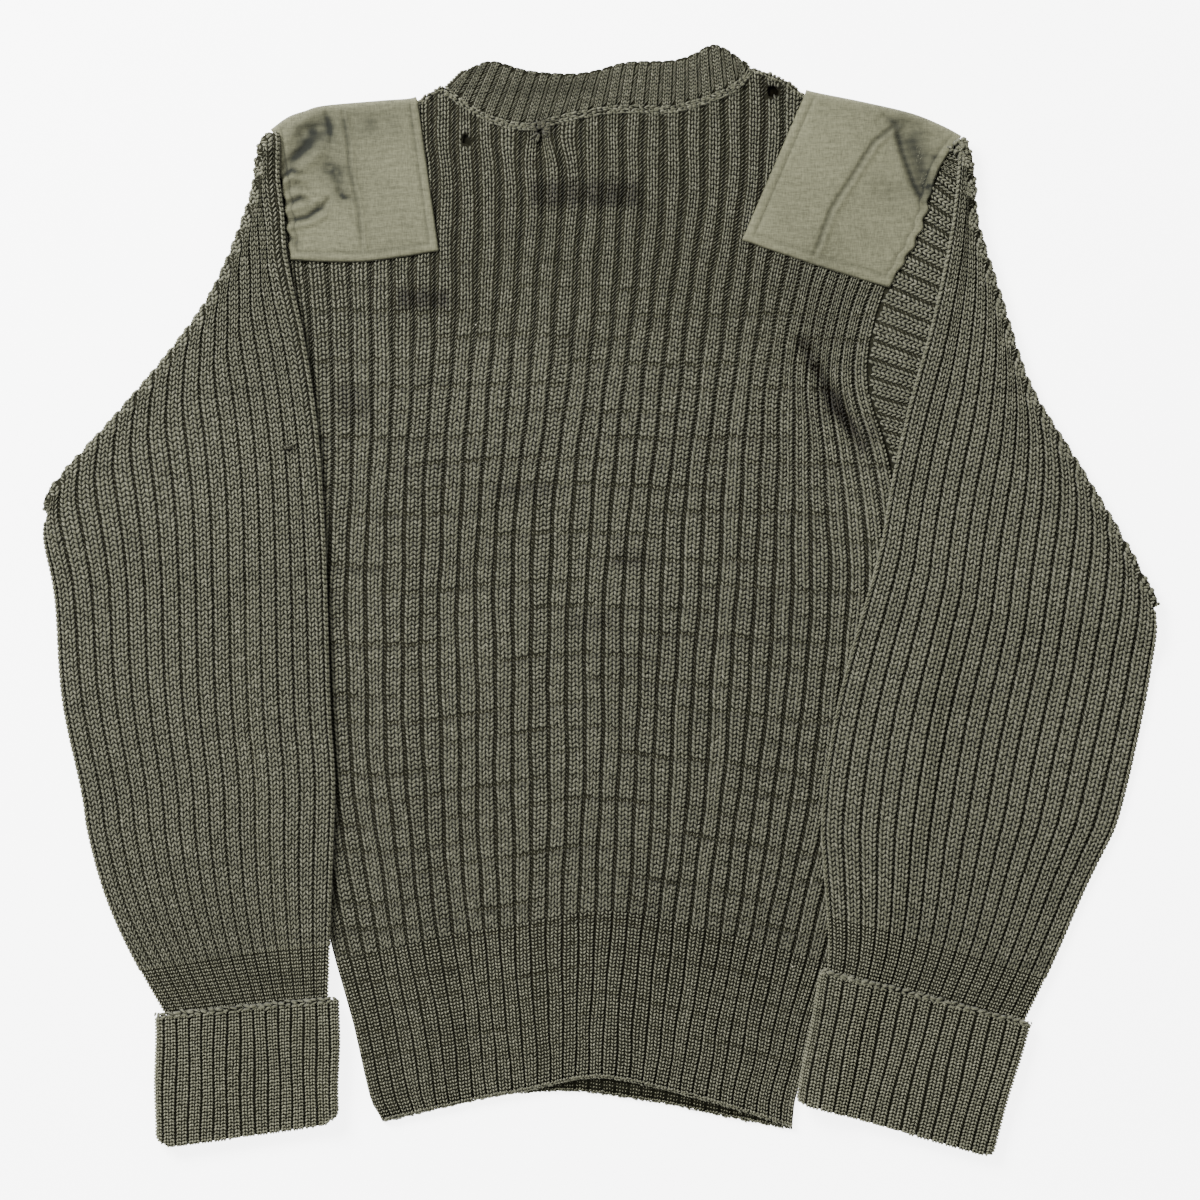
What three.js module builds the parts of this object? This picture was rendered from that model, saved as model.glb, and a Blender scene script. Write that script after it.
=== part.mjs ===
// A ribbed wool pullover laid flat on its front, seen from the back: two body panels, a neckband, two
// shoulder patches, two sleeves turned down over the sides, and two turned-back cuffs.
// Millimetres. X runs to the wearer's right, Y from hem to neck, Z up from the surface it lies on.
import * as THREE from 'three';

// Fabric
const KNIT = 3;                 // thickness of the ribbed wool
const WOVEN = 1;                // thickness of the patches' cotton
const GAP = 0.3;                // between pieces that touch
const CORNER = 1.6;             // more room where a ring's fold meets a panel's corner

// Layers
const LAYER = KNIT + GAP;       // one layer of knit with its gap
const FLAT = 2 * LAYER;         // two layers: the flat body, or a flat sleeve
const TUBE = LAYER / 2;         // from a flat tube's middle to the middle of either layer
const RIM = TUBE + KNIT / 2;    // from the middle of a tube's fold to its outside
const TURN = LAYER;             // radius at which a whole tube turns back on itself
const CUFF = 3 * TUBE;          // from a cuff's middle to the middle of its turned-back layer
const PATCH_LIFT = WOVEN + GAP; // room under the shoulders for the patches' front ends
const LIFT_FROM = 150;          // the sweater rises onto the patches' front ends between these two heights in Y
const LIFT_TO = 232;

// Grid steps
const ACROSS_SHOULDER = 4;
const ACROSS_NECK = 8;
const ACROSS = 2 * ACROSS_SHOULDER + ACROSS_NECK;
const UP_SIDE = 9;
const UP_ARMHOLE = 8;
const BAND_STEPS = 2;
const PATCH_COLUMNS = 8;
const PATCH_ROWS = 5;
const FIRST_STEPS = 3;
const TURN_STEPS = 5;
const FLAP_STEPS = 13;
const CUFF_STEPS = 3;
const CUFF_TURN_STEPS = 4;

// Outlines of the panels and the neckband, from the hem up or from left to right
const HEM_BACK = outline([-138.5, -340], [-79, -325.5], [-49, -320], [-12, -312], [16, -313], [73, -327],
  [126, -342.5]);
const HEM_FRONT = outline([-138.5, -340], [-79, -326], [-41, -320], [-12, -320], [16, -322], [83, -335],
  [126, -343]);
const SIDE_LEFT = outline([-138.5, -340], [-148, -325], [-160, -273], [-177, -214], [-194, -117], [-201, -13],
  [-200, 26]);
const SIDE_RIGHT = outline([126, -342.5], [127, -326], [138, -279], [161, -214], [185, -117], [197, -13],
  [199, 26]);
const ARMHOLE_LEFT = outline([-200, 26], [-198, 110], [-201, 175], [-206, 224], [-208, 270], [-212, 298]);
const ARMHOLE_RIGHT = outline([199, 26], [195, 65], [188, 100], [176, 145], [184, 193], [206, 240], [222, 283],
  [227, 299]);
const SHOULDER_LEFT = outline([-212, 298], [-181, 315], [-142, 319], [-101.5, 331]);
const SHOULDER_RIGHT = outline([97, 339], [132, 327], [170, 320], [202, 312], [227, 299]);
const NECK_BACK = outline([-101.5, 331], [-74, 316], [-46, 309.5], [-26, 314.5], [12, 321], [47, 321], [78, 330],
  [97, 339]);
const NECK_FRONT = outline([-101.5, 331], [-92, 292], [-62, 264], [0, 254], [62, 268], [90, 300], [97, 339]);
const BAND_BACK = outline([-79, 358], [-67, 349], [-46, 344], [-19, 342], [16, 348], [49, 350], [62, 352],
  [74, 361]);
const BAND_FRONT = outline([-79, 358], [-72, 318], [-50, 292], [0, 282], [46, 296], [68, 322], [74, 361]);

// Shoulder patches: the stretch of shoulder they cover, as shares of it, and their hems on back and front
const PATCHES = {
  left: {
    shoulder: SHOULDER_LEFT,
    from: 0.04,
    to: 0.84,
    backHem: outline([-199, 221], [-153, 220], [-104, 227]),
    frontHem: outline([-200, 250], [-160, 252], [-122, 262]),
  },
  right: {
    shoulder: SHOULDER_RIGHT,
    from: 0.26,
    to: 0.96,
    backHem: outline([93, 233], [140, 217], [186, 202]),
    frontHem: outline([128, 262], [165, 252], [203, 248]),
  },
};

// Sleeves: the diagonal where each turns back over itself, its edges below that, and its cuff's two edges.
// outward is the side of a downward line that faces away from the body.
const SLEEVES = {
  left: {
    outward: -1,
    armhole: ARMHOLE_LEFT,
    turn: outline([-219, 297], [-227, 260], [-248, 208], [-274, 169], [-315, 120], [-352, 77], [-362, 58]),
    inner: outline([-219, 297], [-209, 262], [-207, 224], [-195, 177], [-182, 115], [-177, 38], [-174, -70],
      [-171, -121], [-176, -196], [-176, -229]),
    outer: outline([-362, 58], [-362, 40], [-354, 0], [-348, -65], [-335, -130], [-325, -182], [-304, -229]),
    castOff: [new THREE.Vector2(-168, -261), new THREE.Vector2(-289, -270)],
    fold: [new THREE.Vector2(-168, -336), new THREE.Vector2(-284, -353)],
  },
  right: {
    outward: 1,
    armhole: ARMHOLE_RIGHT,
    turn: outline([237, 295], [247, 244], [262, 195], [280, 140], [310, 91], [341, 39], [362, -6]),
    inner: outline([237, 295], [230, 246], [214, 184], [200, 131], [188, 75], [181, 32], [155, -65], [144, -145],
      [149, -213], [150, -227]),
    outer: outline([362, -6], [362, -20], [354, -65], [338, -143], [325, -169], [311, -195], [302, -221]),
    castOff: [new THREE.Vector2(143, -241), new THREE.Vector2(280, -278)],
    fold: [new THREE.Vector2(132, -328), new THREE.Vector2(255, -362)],
  },
};
const FLAP_FADE = 3;            // how quickly the flap's rings straighten after the turn
const INNER_PACE = 1.3;         // how quickly they move down its inner edge at first
const OUTER_PACE = 1.4;         // and how slowly down its outer edge
const DROP_FROM = 16;           // the sleeve comes down to the surface between these distances from the body
const DROP_OVER = 26;
const RISE_FROM = 6;            // and rises into its cuff's middle over this stretch above the cast-off edge
const RISE_OVER = 60;

// Soft ridges that stand up in the back panel: start, end, height and half width
const BACK_RIDGES = [
  { start: new THREE.Vector2(118, 172), end: new THREE.Vector2(160, 112), high: 3, wide: 15 },
  { start: new THREE.Vector2(-60, 20), end: new THREE.Vector2(10, -30), high: 1.2, wide: 25 },
];

const WOOL = { color: 0x55553f, roughness: 0.95, metalness: 0 };
const COTTON = { color: 0x74755c, roughness: 0.85, metalness: 0 };

function outline(...points) {
  return new THREE.SplineCurve(points.map(([x, y]) => new THREE.Vector2(x, y)));
}

function at(place, z) {
  return new THREE.Vector3(place.x, place.y, z);
}

function smooth(value) {
  return THREE.MathUtils.smoothstep(value, 0, 1);
}

function steps(count) {
  return Array.from({ length: count + 1 }, (_, i) => i / count);
}

function lift(place) {
  return PATCH_LIFT * smooth((place.y - LIFT_FROM) / (LIFT_TO - LIFT_FROM));
}

// Distance in plan from a place to the segment a-b.
function toSegment(place, a, b) {
  const reach = b.clone().sub(a);
  const share = THREE.MathUtils.clamp(place.clone().sub(a).dot(reach) / reach.lengthSq(), 0, 1);
  return a.clone().addScaledVector(reach, share).distanceTo(place);
}

// Distance in plan from a place to a closed outline, and 0 inside it.
function outside(place, corners) {
  let inside = false;
  let nearest = Infinity;
  corners.forEach((b, i) => {
    const a = corners.at(i - 1);
    const crossing = a.x + ((place.y - a.y) / (b.y - a.y)) * (b.x - a.x);
    nearest = Math.min(nearest, toSegment(place, a, b));
    if ((a.y > place.y) !== (b.y > place.y) && place.x < crossing) inside = !inside;
  });
  return inside ? 0 : nearest;
}

// Plan points part of the way from one line to another.
function between(a, b, share) {
  return a.map((point, i) => point.clone().lerp(b[i], share));
}

// A line's two ends drawn in along it, which leaves room for a tube's folds inside its outline.
function drawnIn(points, room) {
  const from = (end, next) => end.clone().addScaledVector(next.clone().sub(end).normalize(), room);
  return [from(points[0], points[1]), ...points.slice(1, -1), from(points.at(-1), points.at(-2))];
}

// A straight line of plan points from a to b, drawn in at both ends.
function straight(a, b, room) {
  return drawnIn(steps(UP_ARMHOLE).map((share) => a.clone().lerp(b, share)), room);
}

// Unit vectors across a line, to the left of its direction.
function across(points) {
  return points.map((_, i) => {
    const way = points[Math.min(i + 1, points.length - 1)].clone().sub(points[Math.max(i - 1, 0)]).normalize();
    return new THREE.Vector2(-way.y, way.x);
  });
}

function moved(points, distance) {
  const sideways = across(points);
  return points.map((point, i) => point.clone().addScaledVector(sideways[i], distance));
}

// The line on which a flat ring is sewn to a panel's edge: a gap off it, and more at the ring's two folds.
function seamLine(edge, outward) {
  const near = moved(edge, outward * GAP);
  const far = moved(edge, outward * (GAP + CORNER));
  return drawnIn([far[0], ...near.slice(1, -1), far.at(-1)], RIM);
}

// Three points round the fold that joins two layers, from one layer's end to the other's.
function foldPoints(end, before, otherEnd, otherBefore) {
  const middle = end.clone().add(otherEnd).divideScalar(2);
  const half = end.clone().sub(otherEnd).divideScalar(2);
  const way = end.clone().sub(before).normalize();
  const out = way.add(otherEnd.clone().sub(otherBefore).normalize());
  out.addScaledVector(half, -out.dot(half) / half.lengthSq()).setLength(half.length());
  return [0.25, 0.5, 0.75].map((share) => {
    const angle = Math.PI * share;
    return middle.clone().addScaledVector(half, Math.cos(angle)).addScaledVector(out, Math.sin(angle));
  });
}

// One ring of a flat tube: along one layer, round its end, back along the other layer and round the start.
function flatRing(layer, other) {
  const ends = foldPoints(layer.at(-1), layer.at(-2), other.at(-1), other.at(-2));
  const starts = foldPoints(other[0], other[1], layer[0], layer[1]);
  return [...layer, ...ends, ...other.toReversed(), ...starts];
}

function tubeRing(plan, height, half) {
  const layer = (side) => plan.map((point) => at(point, height(point) + side * half));
  return flatRing(layer(1), layer(-1));
}

// A wall of cloth round a grid of points in its middle, as one closed mesh. A ring's rows close up.
function cloth(grid, thickness, isRing) {
  const rows = grid.length;
  const columns = grid[0].length;
  const last = isRing ? columns : columns - 1;
  const column = (c) => (isRing ? (c + columns) % columns : THREE.MathUtils.clamp(c, 0, columns - 1));
  const pick = (r, c) => grid[THREE.MathUtils.clamp(r, 0, rows - 1)][column(c)];
  const face = (side) => grid.flatMap((row, r) => row.map((point, c) => {
    const up = pick(r + 1, c).clone().sub(pick(r - 1, c));
    const normal = pick(r, c + 1).clone().sub(pick(r, c - 1)).cross(up).normalize();
    return point.clone().addScaledVector(normal, (side * thickness) / 2);
  }));
  const points = [...face(1), ...face(-1)];
  const top = (r, c) => r * columns + column(c);
  const under = (r, c) => rows * columns + top(r, c);
  const faces = [];
  const quad = (a, b, c, d) => faces.push(a, b, c, a, c, d);
  for (let c = 0; c < last; c += 1) {
    for (let r = 0; r < rows - 1; r += 1) {
      quad(top(r, c), top(r, c + 1), top(r + 1, c + 1), top(r + 1, c));
      quad(under(r, c), under(r + 1, c), under(r + 1, c + 1), under(r, c + 1));
    }
    quad(top(0, c + 1), top(0, c), under(0, c), under(0, c + 1));
    quad(top(rows - 1, c), top(rows - 1, c + 1), under(rows - 1, c + 1), under(rows - 1, c));
  }
  for (let r = 0; r < rows - 1 && !isRing; r += 1) {
    quad(top(r, 0), top(r + 1, 0), under(r + 1, 0), under(r, 0));
    quad(top(r + 1, last), top(r, last), under(r, last), under(r + 1, last));
  }
  const geometry = new THREE.BufferGeometry();
  const values = points.flatMap((point) => point.toArray());
  geometry.setAttribute('position', new THREE.Float32BufferAttribute(values, 3));
  geometry.setIndex(faces);
  geometry.computeVertexNormals();
  return geometry;
}

// Body panels: a grid stretched between a hem, two sides with their armholes, and a shoulder and neck line.
const sideLeft = [...SIDE_LEFT.getSpacedPoints(UP_SIDE), ...ARMHOLE_LEFT.getSpacedPoints(UP_ARMHOLE).slice(1)];
const sideRight = [...SIDE_RIGHT.getSpacedPoints(UP_SIDE), ...ARMHOLE_RIGHT.getSpacedPoints(UP_ARMHOLE).slice(1)];
const bodyPlan = [...sideLeft, ...sideRight.toReversed()];

function panel(hem, neck, height) {
  const low = hem.getSpacedPoints(ACROSS);
  const high = [
    ...SHOULDER_LEFT.getSpacedPoints(ACROSS_SHOULDER),
    ...neck.getSpacedPoints(ACROSS_NECK).slice(1),
    ...SHOULDER_RIGHT.getSpacedPoints(ACROSS_SHOULDER).slice(1),
  ];
  return sideLeft.map((left, r) => low.map((bottom, c) => {
    const u = c / ACROSS;
    const v = r / (sideLeft.length - 1);
    const atLeft = left.clone().sub(low[0].clone().lerp(high[0], v));
    const atRight = sideRight[r].clone().sub(low[ACROSS].clone().lerp(high[ACROSS], v));
    const place = bottom.clone().lerp(high[c], v).add(atLeft.lerp(atRight, u));
    return at(place, height(place));
  }));
}

function frontHeight(place) {
  return KNIT / 2 + lift(place);
}

function backHeight(place) {
  const ridges = BACK_RIDGES.map(({ start, end, high, wide }) => {
    const away = toSegment(place, start, end) / wide;
    return high * Math.exp(-(away ** 2));
  });
  return LAYER + KNIT / 2 + lift(place) + ridges.reduce((sum, ridge) => sum + ridge, 0);
}

// Neckband: one ring of rib sewn to both necklines, flat on back and front, folded at its two ends.
function neckbandGrid() {
  const half = (seam, top, z) => {
    const low = seamLine(seam.getSpacedPoints(ACROSS_NECK), 1);
    const high = drawnIn(top.getSpacedPoints(ACROSS_NECK), RIM);
    return steps(BAND_STEPS).map((share) => between(low, high, share).map((point) => at(point, z)));
  };
  const onBack = half(NECK_BACK, BAND_BACK, PATCH_LIFT + LAYER + KNIT / 2);
  const onFront = half(NECK_FRONT, BAND_FRONT, PATCH_LIFT + KNIT / 2);
  return onBack.map((row, i) => flatRing(row, onFront[i]));
}

// Shoulder patches: woven cotton from a hem on the back, over the shoulder's edge, to a hem on the front.
function patchGrid({ shoulder, from, to, backHem, frontHem }) {
  const middle = PATCH_LIFT + LAYER - GAP / 2;
  const radius = middle - WOVEN / 2;
  const line = shoulder.getSpacedPoints(ACROSS_SHOULDER);
  const edge = steps(PATCH_COLUMNS).map((share) => {
    const place = (from + (to - from) * share) * ACROSS_SHOULDER;
    const start = Math.floor(place);
    return line[start].clone().lerp(line[start + 1], place - start);
  });
  const out = across(edge);
  const half = (hem, height) => {
    const low = hem.getSpacedPoints(PATCH_COLUMNS);
    const rows = steps(PATCH_ROWS).slice(0, -1);
    return rows.map((share) => between(low, edge, share).map((point) => at(point, height(point))));
  };
  const overEdge = steps(TURN_STEPS).map((share) => {
    const angle = Math.PI * share;
    return edge.map((point, i) => {
      const place = point.clone().addScaledVector(out[i], radius * Math.sin(angle));
      return at(place, middle + radius * Math.cos(angle));
    });
  });
  const onBack = half(backHem, (point) => FLAT + lift(point) + WOVEN / 2);
  const onFront = half(frontHem, () => WOVEN / 2);
  return [...onBack, ...overEdge, ...onFront.toReversed()];
}

// A sleeve and its cuff. The sleeve is a flat tube sewn to the armhole. It lies beside the body at first,
// turns back over itself on a diagonal and runs down over the body's side. The cuff is knitted on at the wrist,
// turned back on the outside and cast off.
function sleeveGrids({ outward, armhole, turn, inner, outer, castOff, fold }) {
  const armholeLine = armhole.getSpacedPoints(UP_ARMHOLE).toReversed();
  const turnLine = turn.getSpacedPoints(UP_ARMHOLE);
  const seam = seamLine(armholeLine, outward);
  const centre = drawnIn(moved(turnLine, -outward * (TURN + RIM)), RIM);
  const away = across(centre);
  const firstPlan = [...armholeLine, ...turnLine.toReversed()];

  // Heights of the tube's middle on the surface, and on whatever lies under the part that is turned down
  const onSurface = (point) => RIM + lift(point);
  const resting = (point) => {
    const off = Math.min(outside(point, bodyPlan), outside(point, firstPlan));
    return RIM + FLAT * (1 - smooth((off - DROP_FROM) / DROP_OVER));
  };
  const rising = (point) => {
    const above = toSegment(point, castOff[0], castOff[1]);
    return resting(point) + lift(point) + LAYER * (1 - smooth((above - RISE_FROM) / RISE_OVER));
  };
  const raised = (point) => resting(point) + LAYER;

  const beside = steps(FIRST_STEPS).slice(0, -1);
  const first = beside.map((share) => tubeRing(between(seam, centre, share), onSurface, TUBE));
  const turning = steps(TURN_STEPS).map((share) => {
    const angle = Math.PI * share;
    const layer = (radius) => centre.map((point, i) => {
      const place = point.clone().addScaledVector(away[i], outward * radius * Math.sin(angle));
      return at(place, onSurface(point) + TURN - radius * Math.cos(angle));
    });
    return flatRing(layer(TURN - TUBE), layer(TURN + TUBE));
  });
  const chord = straight(centre[0], centre.at(-1), 0);
  const bow = centre.map((point, i) => point.clone().sub(chord[i]));
  const flap = steps(FLAP_STEPS).slice(1).map((share) => {
    const from = inner.getPointAt(1 - (1 - share) ** INNER_PACE);
    const to = outer.getPointAt(share ** OUTER_PACE);
    const plan = straight(from, to, RIM);
    plan.forEach((point, i) => point.addScaledVector(bow[i], (1 - share) ** FLAP_FADE));
    return tubeRing(plan, rising, -TUBE);
  });

  const down = fold[0].clone().add(fold[1]).sub(castOff[0]).sub(castOff[1]).normalize();
  const shifted = (plan, distance) => plan.map((point) => point.clone().addScaledVector(down, distance));
  const start = shifted(straight(inner.getPointAt(1), outer.getPointAt(1), RIM), 2 * GAP);
  const edge = straight(castOff[0], castOff[1], RIM + LAYER);
  const end = shifted(straight(fold[0], fold[1], RIM + LAYER), -RIM);
  const length = steps(CUFF_STEPS).slice(0, -1);
  const single = [0, 0.5].map((share) => tubeRing(between(start, edge, share), rising, TUBE));
  const under = length.map((share) => tubeRing(between(edge, end, share), raised, TUBE));
  const turnedBack = steps(CUFF_TURN_STEPS).map((share) => {
    const angle = Math.PI * share;
    return tubeRing(shifted(end, TUBE * Math.sin(angle)), raised, LAYER - TUBE * Math.cos(angle));
  });
  const over = length.toReversed().map((share) => tubeRing(between(edge, end, share), raised, CUFF));
  return { sleeve: [...first, ...turning, ...flap], cuff: [...single, ...under, ...turnedBack, ...over] };
}

const sweater = new THREE.Group();

function addPiece(name, geometry, look) {
  const mesh = new THREE.Mesh(geometry, new THREE.MeshStandardMaterial(look));
  mesh.name = name;
  sweater.add(mesh);
}

addPiece('front_panel', cloth(panel(HEM_FRONT, NECK_FRONT, frontHeight), KNIT, false), WOOL);
addPiece('back_panel', cloth(panel(HEM_BACK, NECK_BACK, backHeight), KNIT, false), WOOL);
addPiece('neckband', cloth(neckbandGrid(), KNIT, true), WOOL);
for (const side of ['left', 'right']) {
  const { sleeve, cuff } = sleeveGrids(SLEEVES[side]);
  addPiece(`shoulder_patch_${side}`, cloth(patchGrid(PATCHES[side]), WOVEN, false), COTTON);
  addPiece(`sleeve_${side}`, cloth(sleeve, KNIT, true), WOOL);
  addPiece(`cuff_${side}`, cloth(cuff, KNIT, true), WOOL);
}

export default sweater;
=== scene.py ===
import math

import bpy
import numpy as np
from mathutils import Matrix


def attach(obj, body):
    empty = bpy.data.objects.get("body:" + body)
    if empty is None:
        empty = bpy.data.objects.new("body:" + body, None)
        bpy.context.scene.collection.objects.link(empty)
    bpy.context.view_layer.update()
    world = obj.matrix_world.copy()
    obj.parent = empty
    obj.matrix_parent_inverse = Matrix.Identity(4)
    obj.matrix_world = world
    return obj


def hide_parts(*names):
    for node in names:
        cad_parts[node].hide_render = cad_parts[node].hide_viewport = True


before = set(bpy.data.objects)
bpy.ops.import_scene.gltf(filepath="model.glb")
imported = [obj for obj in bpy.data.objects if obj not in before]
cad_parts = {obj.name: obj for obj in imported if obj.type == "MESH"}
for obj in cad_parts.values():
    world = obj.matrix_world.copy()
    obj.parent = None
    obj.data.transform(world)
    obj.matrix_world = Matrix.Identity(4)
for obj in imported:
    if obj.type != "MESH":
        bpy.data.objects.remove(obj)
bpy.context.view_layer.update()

# Back panel: heavy olive wool in 2x2 rib, knitted from the hem up with the hem's finer rib in one piece.
# Each rib is two columns of V stitches with a sunk furrow beside it, where slanted strands of the purl
# stitches show. It has three holes, a darn, a label's old print and the shallow creases of years of folding.
MM = 0.001
ON_FLOOR = 0.02
UV_SPAN = 800
UP = np.array([0, 0, 1.0])
KNIT = 3.0
LAYER = KNIT + 0.3
FLAT = 2 * LAYER
LIFT = 1.3
CREST = 0.8
BODY_RIBS = 33
LEFT_RIBS = 16
HEM_DEPTH = 108
HEM_ROW = 2.25
BODY_ROW = 2.85
DRAWN_FROM = 400
PUCKER = (-38, 303)
DARN_STRANDS = 16
CREASE_PITCH = 16.2
CREASE_DEPTH = 0.9
CREASE_SHADE = 0.5
RIB_SHARES = np.array([0, 0.13, 0.31, 0.5, 0.69, 0.87])
RIB_DEPTH = np.array([2.1, 0.75, 0.35, 0.75, 0.35, 0.75])
HOLES = (((113, 331), 4.3), ((-86, 299), 3.9), ((-125, 84.5), 1.5))


def line(*points):
    """A smooth line through places in millimetres, as many short steps."""
    p = np.array(points, float)
    p = np.vstack([p[:1], p, p[-1:]])
    t = np.linspace(0, 1, 16, endpoint=False)[:, None]
    runs = []
    for a, b, c, d in zip(p[:-3], p[1:-2], p[2:-1], p[3:]):
        start, end = (c - a) / 2, (d - b) / 2
        cubed, squared = 2 * b - 2 * c + start + end, 3 * c - 3 * b - 2 * start - end
        runs.append(cubed * t**3 + squared * t**2 + start * t + b)
    return np.vstack(runs + [p[-2:-1]])


def along(path, shares):
    """The places at these shares of a path's length."""
    length = np.append(0, np.cumsum(np.linalg.norm(np.diff(path, axis=0), axis=1)))
    wanted = np.asarray(shares) * length[-1]
    return np.stack([np.interp(wanted, length, path[:, k]) for k in range(path.shape[1])], axis=-1)


def smooth(value):
    """An even step from 0 to 1."""
    value = np.clip(value, 0, 1)
    return value * value * (3 - 2 * value)


def lift(y):
    """How far the shoulders are raised by the patches' front ends."""
    return LIFT * smooth((y - 150) / 82)


def unit(vectors):
    """The same directions with a length of 1."""
    return vectors / np.maximum(np.linalg.norm(vectors, axis=-1, keepdims=True), 1e-9)


# Stains: a label's print, one by each armhole, three on the back and the whole middle, each with its left,
# right, low and high edge, how softly it ends and how dark it is. Then round spots, the three at the holes
# being painted shade inside them, and painted shade along the armhole's dent.
STAINS = (
    (-44, 27, 256, 273, 8, 0.65),
    (-131, -98, 190, 202, 7, 0.75),
    (-172, -150, 118, 140, 14, 0.45),
    (-20, 10, -19, -9, 9, 0.4),
    (8, 34, 20, 34, 12, 0.35),
    (-70, -30, 66, 76, 10, 0.35),
    (-160, 145, -235, 125, 50, 0.07),
)
# The spots at the three holes, (113, 331), (-86, 299) and (-125, 84.5), are painted shade inside them
SPOTS = (
    (-38, 307, 7, 0.7),
    (113, 331, 6, 0.8),
    (-86, 299, 4, 0.5),
    (-125, 84.5, 3, 0.9),
    (-40, 285, 4, 0.5),
    (-202, 98, 4, 0.6),
    (150, 128, 9, 0.5),
    (176, 108, 9, 0.5),
)
# Painted shade along the armhole's dent: each line's ends, width and strength
DENT_SHADE = (((132, 168), (163, 112), 4.5, 0.75), ((156, 128), (172, 98), 4, 0.5))


def soil_and_shade(place):
    """How soiled or shadowed the wool is at these places."""
    x, y = place[:, 0], place[:, 1]
    dark = np.zeros(len(place))
    for left, right, low, high, soft, strength in STAINS:
        across = smooth((x - left) / soft + 0.5) * smooth((right - x) / soft + 0.5)
        dark += strength * across * smooth((y - low) / soft + 0.5) * smooth((high - y) / soft + 0.5)
    for spot_x, spot_y, radius, strength in SPOTS:
        dark += strength * np.exp(-(((x - spot_x) ** 2 + (y - spot_y) ** 2) / radius**2))
    for start, end, wide, strength in DENT_SHADE:
        dark += strength * np.exp(-((near_line(place, start, end) / wide) ** 2))
    return np.clip(dark, 0, 1)


def plain_mesh(name, points, faces, material):
    """A smooth-shaded mesh from places in millimetres and faces that all have as many corners."""
    faces = np.asarray(faces)
    points = np.maximum(points, [-np.inf, -np.inf, ON_FLOOR])
    mesh = bpy.data.meshes.new(name)
    mesh.vertices.add(len(points))
    mesh.vertices.foreach_set("co", (np.asarray(points, np.float32) * MM).ravel())
    mesh.loops.add(faces.size)
    mesh.loops.foreach_set("vertex_index", faces.ravel().astype(np.int32))
    mesh.polygons.add(len(faces))
    mesh.polygons.foreach_set("loop_start", np.arange(0, faces.size, faces.shape[1], dtype=np.int32))
    mesh.update(calc_edges=True)
    mesh.polygons.foreach_set("use_smooth", np.ones(len(mesh.polygons), bool))
    top = mesh.uv_layers.new(name="OFBake")
    spots = points[faces.ravel(), :2] / UV_SPAN + 0.5
    top.uv.foreach_set("vector", spots.astype(np.float32).ravel())
    # The attribute holds stains and also painted shade, in the holes and along the armhole's dent
    soil_shade = mesh.attributes.new("soil_and_shade", "FLOAT", "POINT")
    soil_shade.data.foreach_set("value", soil_and_shade(points).astype(np.float32))
    mesh.materials.append(material)
    piece = bpy.data.objects.new(name, mesh)
    bpy.context.collection.objects.link(piece)
    return piece


def soft_piece(name, points, faces, material):
    """A mesh of cloth or yarn that rides on the one body."""
    piece = plain_mesh(name, points, faces, material)
    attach(piece, "root")
    return piece


def cloth(name, outer, inner, material, ring=False, holes=None):
    """A closed sheet of cloth from the places of its outer and inner faces, less the cells of any holes."""
    rows, columns = outer.shape[:2]
    last = columns if ring else columns - 1
    size = rows * columns
    solid = np.ones((rows - 1, last), bool) if holes is None else ~holes
    r, c = np.nonzero(solid)
    a, b = r * columns + c, r * columns + (c + 1) % columns
    d, e = a + columns, b + columns
    faces = [np.stack([a, b, e, d], 1), np.stack([a, d, e, b], 1) + size]
    rims = np.zeros((rows + 1, last + 2), bool)
    rims[1:-1, 1:-1] = solid
    if ring:
        rims[:, 0], rims[:, -1] = rims[:, -2], rims[:, 1]
    here = rims[1:-1, 1:-1]
    for first, second, open_side in (
        (0, 1, here & ~rims[:-2, 1:-1]),
        (3, 2, here & ~rims[2:, 1:-1]),
        (0, 3, here & ~rims[1:-1, :-2]),
        (1, 2, here & ~rims[1:-1, 2:]),
    ):
        r, c = np.nonzero(open_side)
        corner = [r * columns + c, r * columns + (c + 1) % columns]
        corner += [corner[1] + columns, corner[0] + columns]
        p, q = corner[first], corner[second]
        edge = np.stack([q, p, p + size, q + size], 1)
        faces.append(edge if (first, second) in ((0, 1), (1, 2)) else edge[:, ::-1])
    points = np.vstack([outer.reshape(-1, 3), inner.reshape(-1, 3)])
    faces = np.vstack(faces)
    corners = points[faces]
    volume = np.einsum("ij,ij->", corners[:, 0], np.cross(corners[:, 1], corners[:, 2]))
    volume += np.einsum("ij,ij->", corners[:, 0], np.cross(corners[:, 2], corners[:, 3]))
    return soft_piece(name, points, faces if volume > 0 else faces[:, ::-1], material)


def rib_columns(count):
    """Rib numbers of the columns of places, and how deep the cloth lies there under the stitches' middles."""
    ribs = (np.arange(count)[:, None] + RIB_SHARES).ravel()
    return np.append(ribs, count), np.append(np.tile(RIB_DEPTH, count), RIB_DEPTH[0])


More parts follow.
